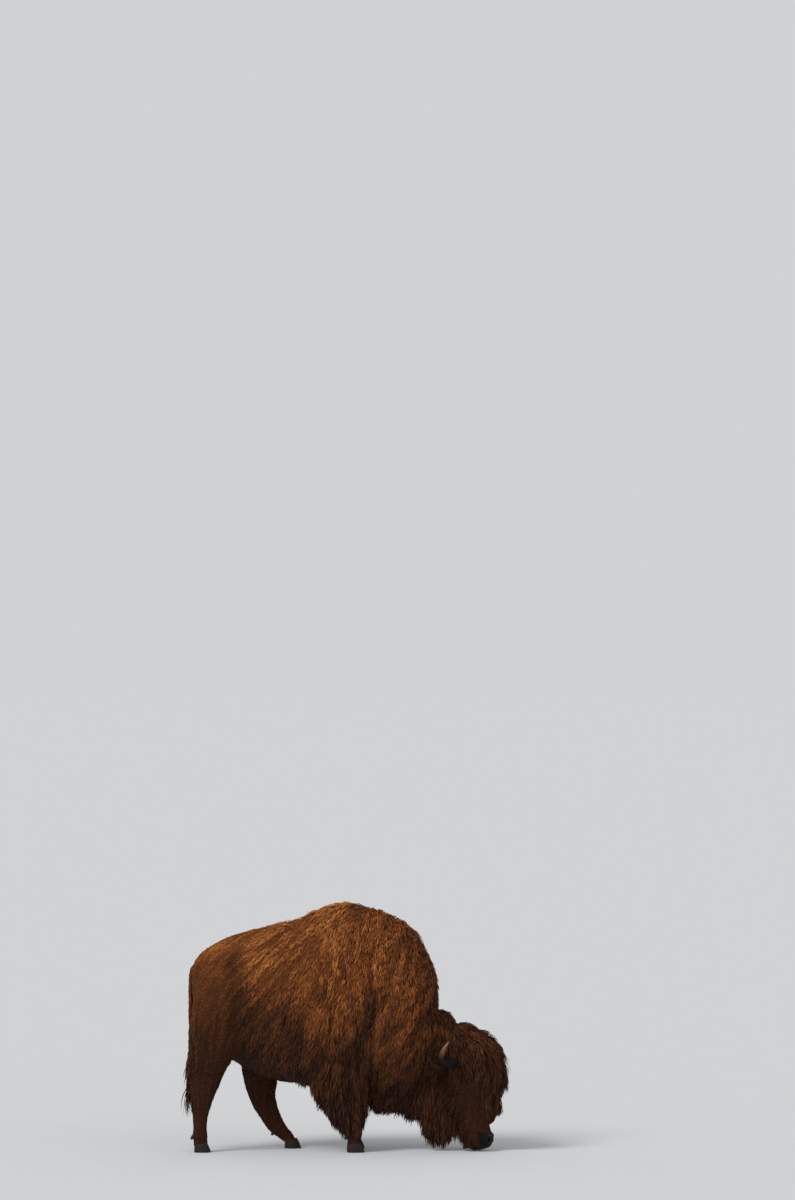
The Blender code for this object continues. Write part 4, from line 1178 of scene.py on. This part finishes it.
def make_lids(name, side):
    """A rim of lid round the almond opening, rolled over its edge and sunk in the skin."""
    middle, out, forward, up = eye_axes(side)
    count = 56
    turn = np.arange(count) * 2 * math.pi / count
    cos, sin = np.cos(turn), np.sin(turn)
    # Degrees from the eye's axis to the opening's edge: an oval, drawn out in front
    high = np.where(sin > 0, 33, 27)
    edge = 1 / np.sqrt((cos / 62) ** 2 + (sin / high) ** 2)
    edge += 9 * bell(turn - np.where(turn > math.pi, 2 * math.pi, 0), 0.20)
    # Round the lid's section: degrees past the edge, and radius as a share of the eyeball's
    rows = ((0.0, 1.005), (-1.5, 1.020), (-1.0, 1.050), (2.0, 1.070), (6, 1.080), (11, 1.085),
            (20, 1.070), (34, 1.020), (34, 0.980), (20, 1.003), (7, 1.003))
    sections = []
    for step, radius in rows:
        tilt = np.radians(edge + step)
        fold = 1 - 0.018 * math.exp(-((step - 17) / 4) ** 2) * (sin > -0.2)
        reach = EYE_RADIUS * radius * fold
        sections.append(middle + np.outer(reach * np.cos(tilt), out)
                        + (reach * np.sin(tilt) * cos)[:, None] * forward
                        + (reach * np.sin(tilt) * sin)[:, None] * up)
    faces = []
    for k in range(len(rows)):
        a, b = k * count, (k + 1) % len(rows) * count
        for i in range(count):
            j = (i + 1) % count
            faces.append((a + i, a + j, b + j, b + i))
    lids = mesh_from(name, np.vstack(sections), faces)
    outwards(lids)
    lids.data.shade_smooth()
    return lids


# ---- Finishes -------------------------------------------------------------------------------

def linear(hex_colour):
    """An sRGB hex colour as linear RGBA."""
    parts = [int(hex_colour[i:i + 2], 16) / 255 for i in (1, 3, 5)]
    return (*(c / 12.92 if c <= 0.04045 else ((c + 0.055) / 1.055) ** 2.4 for c in parts), 1.0)


def add_node(tree, kind, *values, out=0, stops=(), **settings):
    """Adds a node and gives its output `out`.

    The values go to its first inputs, and each setting to its input or property of that name.
    A value that is another node's output is linked. The stops are a colour ramp's.
    """
    node = tree.nodes.new("ShaderNode" + kind)
    inputs = {socket.identifier: socket for socket in node.inputs}
    given = dict(zip(inputs, values)) | settings
    for name in sorted(given, key=inputs.__contains__):
        if name in inputs:
            feed(tree, inputs[name], given[name])
        else:
            setattr(node, name, given[name])
    if stops:
        elements = node.color_ramp.elements
        while len(elements) < len(stops):
            elements.new(0.5)
        for element, (place, colour) in zip(elements, stops):
            element.position = place
            element.color = (*colour, 1.0)
    return node.outputs[out]


def feed(tree, socket, value):
    """Links an input to another node's output, or sets it."""
    if isinstance(value, bpy.types.NodeSocket):
        tree.links.new(value, socket)
    else:
        socket.default_value = value


def material_of(finish):
    """The material that a finish describes, made when it isn't there yet."""
    material = bpy.data.materials.get(finish.__name__)
    if material is None:
        material = bpy.data.materials.new(finish.__name__)
        material.use_nodes = True
        tree = material.node_tree
        looks = finish(partial(add_node, tree), bpy.context.scene.bison_colours)
        for name, value in looks.items():
            feed(tree, tree.nodes["Principled BSDF"].inputs[name.replace("_", " ")], value)
    return material


def coat_colour(add, shade, colours):
    """Bison hair from near-black eumelanin brown to sun-bleached golden brown."""
    return add("ValToRGB", shade, stops=(
        (0.0, colours.black_hair), (0.26, colours.dark_hair), (0.55, colours.rump_hair),
        (0.86, colours.cape_hair), (1.0, colours.bleached_hair)))


def winter_wool(add, colours):
    """Winter wool: matt, dark at the root, faded and dry at the tip, streaked by its hairs; the
    dark root is partly painted shade, and locks in the furrows have painted shade.
    """
    # Hairs about 1 mm apart across a lock of 12 mm, coarser than the real 0.1 mm
    strand = add("Mapping", add("UVMap", uv_map="strand"), Scale=(7.0, 0.9, 1.0))
    hairs = add("TexNoise", strand, Scale=1.6, Detail=3.0, Roughness=0.6)
    along, tone, shade = (add("Attribute", attribute_name=name, out="Fac")
                          for name in ("along", "tone", "shade"))
    # Shade shifts by the hairs, by painted shade towards the root and by the painted furrow shade
    for source, start, end, low, high in (
            (hairs, 0.3, 0.7, -0.10, 0.10), (along, 0.0, 1.0, -0.07, 0.05),
            (tone, 0.0, 1.0, -0.06, 0.05)):
        shade = add("Math", shade, add("MapRange", source, start, end, low, high))
    colour = coat_colour(add, shade, colours)
    # Painted shade: each lock darker towards its root, partly the hair's own darker root, and
    # darker in the furrows with painted light on the ridges
    for factor in (add("MapRange", along, 0.0, 0.75, 0.55, 1.10),
                   add("MapRange", tone, 0.0, 1.0, 0.66, 1.26)):
        colour = add("VectorMath", colour, factor, operation="MULTIPLY")
    return dict(Base_Color=colour, Roughness=0.85, Sheen_Weight=0.06, Sheen_Roughness=0.5,
                Specular_IOR_Level=0.16, Specular_Tint=linear("#D9A878"),
                Normal=add("Bump", Height=hairs, Strength=0.7, Distance=0.002))


def short_hair_and_nose_leather(add, colours):
    """Hide under the coat, with short hair lying on it, bare wet leather on nose and lips."""
    where = add("TexCoord", out="Object")
    bare, shade = (add("Attribute", attribute_name=name, out="Fac") for name in ("bare", "shade"))
    # Short hair in streaks about 3 mm wide and 20 mm long down the body
    drawn = add("Mapping", where, Scale=(1.0, 1.0, 0.16))
    hairs = add("TexNoise", drawn, Scale=320.0, Detail=4.0, Roughness=0.65)
    tufts = add("TexNoise", drawn, Scale=70.0, Detail=2.0)
    shade = add("Math", shade, add("MapRange", hairs, 0.3, 0.7, -0.16, 0.16))
    # The hide is painted darker than the locks, 0.55 to 0.95 of their colour, as painted shade at
    # the base between them, mottled at random in tufts
    colour = add("VectorMath", coat_colour(add, shade, colours),
                 add("MapRange", tufts, 0.3, 0.7, 0.55, 0.95), operation="MULTIPLY")
    # The nose's leather is cobbled in fields about 3 mm across, with painted shade in the grooves
    cells = add("TexVoronoi", where, Scale=330.0, feature="DISTANCE_TO_EDGE")
    leather = add("ValToRGB", cells, stops=((0.0, colours.nose_groove), (0.22, colours.nose)))
    fur_bump = add("Bump", Height=hairs, Strength=add("MapRange", bare, 0.0, 1.0, 0.9, 0.0),
                   Distance=0.003)
    cobbles = add("Bump", Height=add("MapRange", cells, 0.0, 0.3, 0.0, 1.0), Distance=0.0016,
                  Strength=add("MapRange", bare, 0.0, 1.0, 0.0, 1.0), Normal=fur_bump)
    return dict(Base_Color=add("Mix", bare, A_Color=colour, B_Color=leather, data_type="RGBA",
                               out=2),
                Roughness=add("MapRange", bare, 0.0, 1.0, 0.85, 0.45),
                Specular_IOR_Level=0.13, Normal=cobbles)


def horn_sheath(add, colours):
    """Horn sheath: black keratin, dull and scaly at the base, rubbed to a shine at the tip, whose
    lighter colour is partly wear and partly painted highlight.
    """
    run = add("Attribute", attribute_name="run", out="Fac")
    flakes = add("TexNoise", add("TexCoord", out="Object"), Scale=90.0, Detail=5.0, Roughness=0.7)
    # Growth rings about 12 mm apart, broken by the flakes
    wander = add("MapRange", flakes, 0.0, 1.0, -2.0, 2.0)
    rings = add("Math", add("Math", add("Math", run, 520.0, operation="MULTIPLY"), wander),
                operation="SINE")
    place = add("Math", add("MapRange", run, 0.02, 0.34, 0.0, 1.0),
                add("MapRange", flakes, 0.0, 1.0, -0.25, 0.25))
    height = add("Math", add("MapRange", rings, -1.0, 1.0, 0.0, 0.5), flakes)
    return dict(Base_Color=add("ValToRGB", place, stops=((0.0, colours.horn_base),
                                                         (0.68, colours.horn),
                                                         (0.98, colours.horn_worn))),
                Roughness=add("MapRange", place, 0.0, 1.0, 0.75, 0.28),
                Specular_IOR_Level=0.14,
                Normal=add("Bump", Height=height, Distance=0.0012,
                           Strength=add("MapRange", run, 0.05, 0.30, 0.7, 0.1)))


def hoof_wall(add, colours):
    """Hoof wall: grey-black horn with level growth rings and fine grain down the wall."""
    where = add("TexCoord", out="Object")
    grain = add("TexNoise", add("Mapping", where, Scale=(1.0, 1.0, 0.12)), Scale=420.0, Detail=3.0)
    rings = add("TexWave", where, Scale=30.0, Distortion=1.5, Detail=2.0, bands_direction="Z",
                out="Fac")
    mixed = add("Math", add("MapRange", grain, 0.3, 0.7, 0.0, 0.6),
                add("MapRange", rings, 0.0, 1.0, 0.0, 0.4))
    return dict(Base_Color=add("ValToRGB", mixed, stops=((0.0, colours.hoof),
                                                         (1.0, colours.hoof_worn))),
                Roughness=0.6, Specular_IOR_Level=0.25,
                Normal=add("Bump", Height=mixed, Strength=0.6, Distance=0.0012))


def wet_eye(add, colours):
    """A wet dark eye: brown iris, level oval pupil, dusky white at the rim under a clear coat."""
    off_axis, level = (add("Attribute", attribute_name=name, out="Fac")
                       for name in ("off_axis", "level"))
    fibres = add("TexNoise", add("TexCoord", out="Object"), Scale=900.0, Detail=3.0)
    rim = add("Math", off_axis, add("MapRange", fibres, 0.0, 1.0, -0.05, 0.05))
    iris = add("ValToRGB", rim, stops=(
        (0.0, colours.iris), (0.56, colours.iris), (0.64, colours.iris_rim),
        (0.72, colours.eye_white), (0.95, colours.iris_rim)))
    tall = add("Math", level, 2.2, operation="MULTIPLY")
    oval_gap = add("Math", add("Math", off_axis, 2.0, operation="POWER"),
                   add("Math", tall, 2.0, operation="POWER"))
    colour = add("Mix", add("MapRange", oval_gap, 0.10, 0.15, 0.0, 1.0),
                 A_Color=(0.001, 0.001, 0.001, 1.0), B_Color=iris, data_type="RGBA", out=2)
    return dict(Base_Color=colour, Roughness=0.35, Coat_Weight=0.45, Coat_Roughness=0.02,
                Specular_IOR_Level=0.08)


def lid_leather(add, colours):
    """Hairless black lid: thin creased leather, damp at its edge, with painted shade in its
    creases.
    """
    creases = add("TexVoronoi", add("TexCoord", out="Object"), Scale=600.0,
                  feature="DISTANCE_TO_EDGE")
    return dict(Base_Color=add("ValToRGB", creases, stops=((0.0, colours.nose_groove),
                                                           (0.3, colours.nose))),
                Roughness=0.5, Specular_IOR_Level=0.16,
                Normal=add("Bump", Height=creases, Strength=0.5, Distance=0.0005))


def pale_floor_paint(add, colours):
    """Studio floor: matt pale paint with the faintest mottle."""
    mottle = add("TexNoise", add("TexCoord", out="Object"), Scale=3.0, Detail=3.0)
    return dict(Base_Color=add("VectorMath", tuple(colours.floor),
                               add("MapRange", mottle, 0.0, 1.0, 0.985, 1.015),
                               operation="MULTIPLY"),
                Roughness=1.0, Specular_IOR_Level=0.0)


# ---- Settings of the add-on -----------------------------------------------------------------

def colour_setting(name, description, hex_colour):
    return bpy.props.FloatVectorProperty(name=name, description=description, subtype="COLOR",
                                         size=3, min=0, max=1, default=linear(hex_colour)[:3])


def factor_setting(name, description, low, high):
    return bpy.props.FloatProperty(name=name, description=description, subtype="FACTOR",
                                   default=1.0, min=low, max=high)


class BisonSizes(bpy.types.PropertyGroup):
    """Sizes of the coat."""
    length: factor_setting("Hair length", "All locks longer or shorter", 0.5, 1.3)
    width: factor_setting("Lock width", "All locks wider or narrower", 0.4, 2.0)
    thickness: factor_setting("Coat fullness", "More or fewer locks over each other", 0.2, 2.0)
    wave: factor_setting("Wave", "How much the wool waves", 0.0, 2.0)


class BisonColours(bpy.types.PropertyGroup):
    """Colours of coat, horn, hoof, nose and eye."""
    black_hair: colour_setting("Black hair", "Deepest hair of head, legs and belly", "#36180C")
    dark_hair: colour_setting("Dark hair", "Lit hair of head and legs", "#48250F")
    rump_hair: colour_setting("Rump hair", "Brown of the hindquarters", "#683A1C")
    cape_hair: colour_setting("Cape hair", "Golden brown of hump and shoulders", "#8F5024")
    bleached_hair: colour_setting("Bleached hair", "Sun-bleached tips of the cape", "#AE6E37")
    nose: colour_setting("Nose leather", "Bare skin of nose and lids", "#190F0A")
    # Painted shade in the grooves of nose and lids
    nose_groove: colour_setting("Nose grooves", "Grooves of the bare skin", "#070504")
    horn_base: colour_setting("Horn base", "Scaly base of the horns", "#180F09")
    horn: colour_setting("Horn", "Black horn", "#190F08")
    # Light horn tip: partly wear, partly painted highlight
    horn_worn: colour_setting("Worn horn", "Horn rubbed bright", "#7A5C40")
    hoof: colour_setting("Hoof", "Hoof wall", "#120D09")
    hoof_worn: colour_setting("Worn hoof", "Worn and dusty hoof wall", "#281D15")
    iris: colour_setting("Iris", "Brown of the eye", "#1F1008")
    iris_rim: colour_setting("Iris rim", "Dark rim of the iris", "#080403")
    eye_white: colour_setting("Eye white", "Dusky white at the eye's corners", "#3A2A22")
    floor: colour_setting("Floor", "Studio floor", "#C6C7C8")


# ---- Operators ------------------------------------------------------------------------------

class BuildOperator:
    """What the bison's operators share."""
    bl_options = {"REGISTER", "UNDO"}


class BISON_OT_skin(BuildOperator, bpy.types.Operator):
    """Make the skin that lies under the whole coat"""
    bl_idname = "bison.skin"
    bl_label = "Skin"

    def execute(self, context):
        skin = make_skin()
        points = places(skin)
        ridge, slope = ridges_on(skin)
        for name, values in (("ridge", ridge), ("slope", slope), ("shade", shade_at(points)),
                             ("bare", bald_at(points))):
            set_value(skin.data, name, values)
        finished(skin, short_hair_and_nose_leather,
                 ("trunk", "neck", "head", "beard", "foreleg_left", "foreleg_right",
                  "hindleg_left", "hindleg_right", "tail", "tail_tuft", "ear_left", "ear_right"))
        return {"FINISHED"}


class BISON_OT_horns(BuildOperator, bpy.types.Operator):
    """Make the two horns"""
    bl_idname = "bison.horns"
    bl_label = "Horns"

    def execute(self, context):
        for word, side in SIDES.items():
            finished(make_horn(f"horn_sheath_{word}", side), horn_sheath,
                     (f"horn_{word}",))
        return {"FINISHED"}


class BISON_OT_hooves(BuildOperator, bpy.types.Operator):
    """Make the claws of the four hooves and their dewclaws"""
    bl_idname = "bison.hooves"
    bl_label = "Hooves"

    def execute(self, context):
        for leg in FEET:
            side = SIDES[leg.split("_")[1]]
            for where, toe_side in (("inner", -side), ("outer", side)):
                claw = make_claw(f"claw_{leg}_{where}", leg, side, toe_side)
                finished(claw, hoof_wall, (f"hoof_{leg}_{where}",))
            finished(make_dewclaws(f"dewclaws_{leg}", leg, side), hoof_wall)
        return {"FINISHED"}


class BISON_OT_eyes(BuildOperator, bpy.types.Operator):
    """Make the eyes and their lids"""
    bl_idname = "bison.eyes"
    bl_label = "Eyes"

    def execute(self, context):
        for word, side in SIDES.items():
            finished(make_eye(f"eyeball_{word}", side), wet_eye, (f"eye_{word}",))
            finished(make_lids(f"lids_{word}", side), lid_leather)
        return {"FINISHED"}


def grow(context, *names):
    """Makes these stretches of coat on the skin."""
    if "skin" not in bpy.data.objects:
        raise RuntimeError("make the skin before its coat")
    for name in names:
        coat = COATS[COAT_NUMBER[name]]
        finished(make_locks(coat, context.scene.bison_sizes), winter_wool)
    return {"FINISHED"}


class BISON_OT_cape(BuildOperator, bpy.types.Operator):
    """Grow the long golden wool of hump, shoulders and neck"""
    bl_idname = "bison.cape"
    bl_label = "Cape and mane"

    def execute(self, context):
        return grow(context, "coat_hump", "coat_shoulder", "coat_neck", "coat_mane")


class BISON_OT_body_coat(BuildOperator, bpy.types.Operator):
    """Grow the shorter coat of flanks and hindquarters"""
    bl_idname = "bison.body_coat"
    bl_label = "Flanks and hindquarters"

    def execute(self, context):
        return grow(context, "coat_flank", "coat_rump")


class BISON_OT_head_coat(BuildOperator, bpy.types.Operator):
    """Grow the bonnet, the hair of the face and ears, and the beard"""
    bl_idname = "bison.head_coat"
    bl_label = "Bonnet, face and beard"

    def execute(self, context):
        return grow(context, "coat_bonnet", "coat_face", "coat_ears", "coat_beard")


class BISON_OT_leg_coat(BuildOperator, bpy.types.Operator):
    """Grow the chaps, the short hair of the legs and the tail"""
    bl_idname = "bison.leg_coat"
    bl_label = "Legs and tail"

    def execute(self, context):
        return grow(context, "coat_chaps", "coat_legs", "coat_tail")


class BISON_OT_studio(BuildOperator, bpy.types.Operator):
    """Set up the pale floor, the soft lights and the camera"""
    bl_idname = "bison.studio"
    bl_label = "Studio"

    def execute(self, context):
        make_floor()
        make_lights(context.scene)
        make_camera(context.scene)
        return {"FINISHED"}


# ---- Studio ---------------------------------------------------------------------------------

def make_floor():
    bpy.ops.object.select_all(action="DESELECT")
    bpy.ops.mesh.primitive_plane_add(size=900, location=(0, 0, 0))
    floor = bpy.context.object
    floor.name = "studio_floor"
    floor.data.materials.append(material_of(pale_floor_paint))


def make_lights(scene):
    """A large soft key high on the left of the view, a weak fill, and pale air all round."""
    scene.view_settings.view_transform = "Standard"
    world = bpy.data.worlds.new("pale_air")
    world.use_nodes = True
    background = world.node_tree.nodes["Background"]
    background.inputs["Color"].default_value = linear("#E9EAEC")
    background.inputs["Strength"].default_value = 0.78
    scene.world = world
    for name, aim, strength, spread in (
            ("key", (0.62, 0.58, -0.82), 2.0, 24), ("fill", (-0.75, 0.85, -0.45), 0.35, 60)):
        lamp = bpy.data.lights.new(name, "SUN")
        lamp.energy = strength
        lamp.angle = math.radians(spread)
        obj = new_object(name, lamp)
        obj.location = Vector(aim) * -12
        obj.rotation_euler = Vector(aim).to_track_quat("-Z", "Y").to_euler()


def make_camera(scene):
    """Far off, tipped up a little, as through a long lens, with the animal low in the frame."""
    data = bpy.data.cameras.new("camera")
    data.sensor_width = 36
    data.lens = 159.9
    data.clip_end = 2000
    camera = new_object("camera", data)
    camera.location = (0.3685, -38.0, 3.49)
    camera.rotation_euler = (math.radians(90.645), 0, 0)
    scene.camera = camera


# ---- Panel and registration -----------------------------------------------------------------

BUILD_ORDER = (BISON_OT_studio, BISON_OT_skin, BISON_OT_horns, BISON_OT_hooves, BISON_OT_eyes,
               BISON_OT_cape, BISON_OT_body_coat, BISON_OT_head_coat, BISON_OT_leg_coat)


class BISON_PT_looks(bpy.types.Panel):
    """The bison's sizes, colours and pieces"""
    bl_idname = "BISON_PT_looks"
    bl_label = "Bison"
    bl_space_type = "VIEW_3D"
    bl_region_type = "UI"
    bl_category = "Bison"

    def draw(self, context):
        for group in (context.scene.bison_sizes, context.scene.bison_colours):
            box = self.layout.box()
            for name in group.__annotations__:
                box.prop(group, name)
        column = self.layout.column(align=True)
        for operator in BUILD_ORDER:
            column.operator(operator.bl_idname)


CLASSES = (BisonSizes, BisonColours, *BUILD_ORDER, BISON_PT_looks)


def register():
    for made in CLASSES:
        bpy.utils.register_class(made)
    bpy.types.Scene.bison_sizes = bpy.props.PointerProperty(type=BisonSizes)
    bpy.types.Scene.bison_colours = bpy.props.PointerProperty(type=BisonColours)


def unregister():
    del bpy.types.Scene.bison_colours
    del bpy.types.Scene.bison_sizes
    for made in reversed(CLASSES):
        bpy.utils.unregister_class(made)


def main():
    register()
    for operator in BUILD_ORDER:
        getattr(bpy.ops.bison, operator.bl_idname.split(".")[1])()


if __name__ == "__main__":
    main()
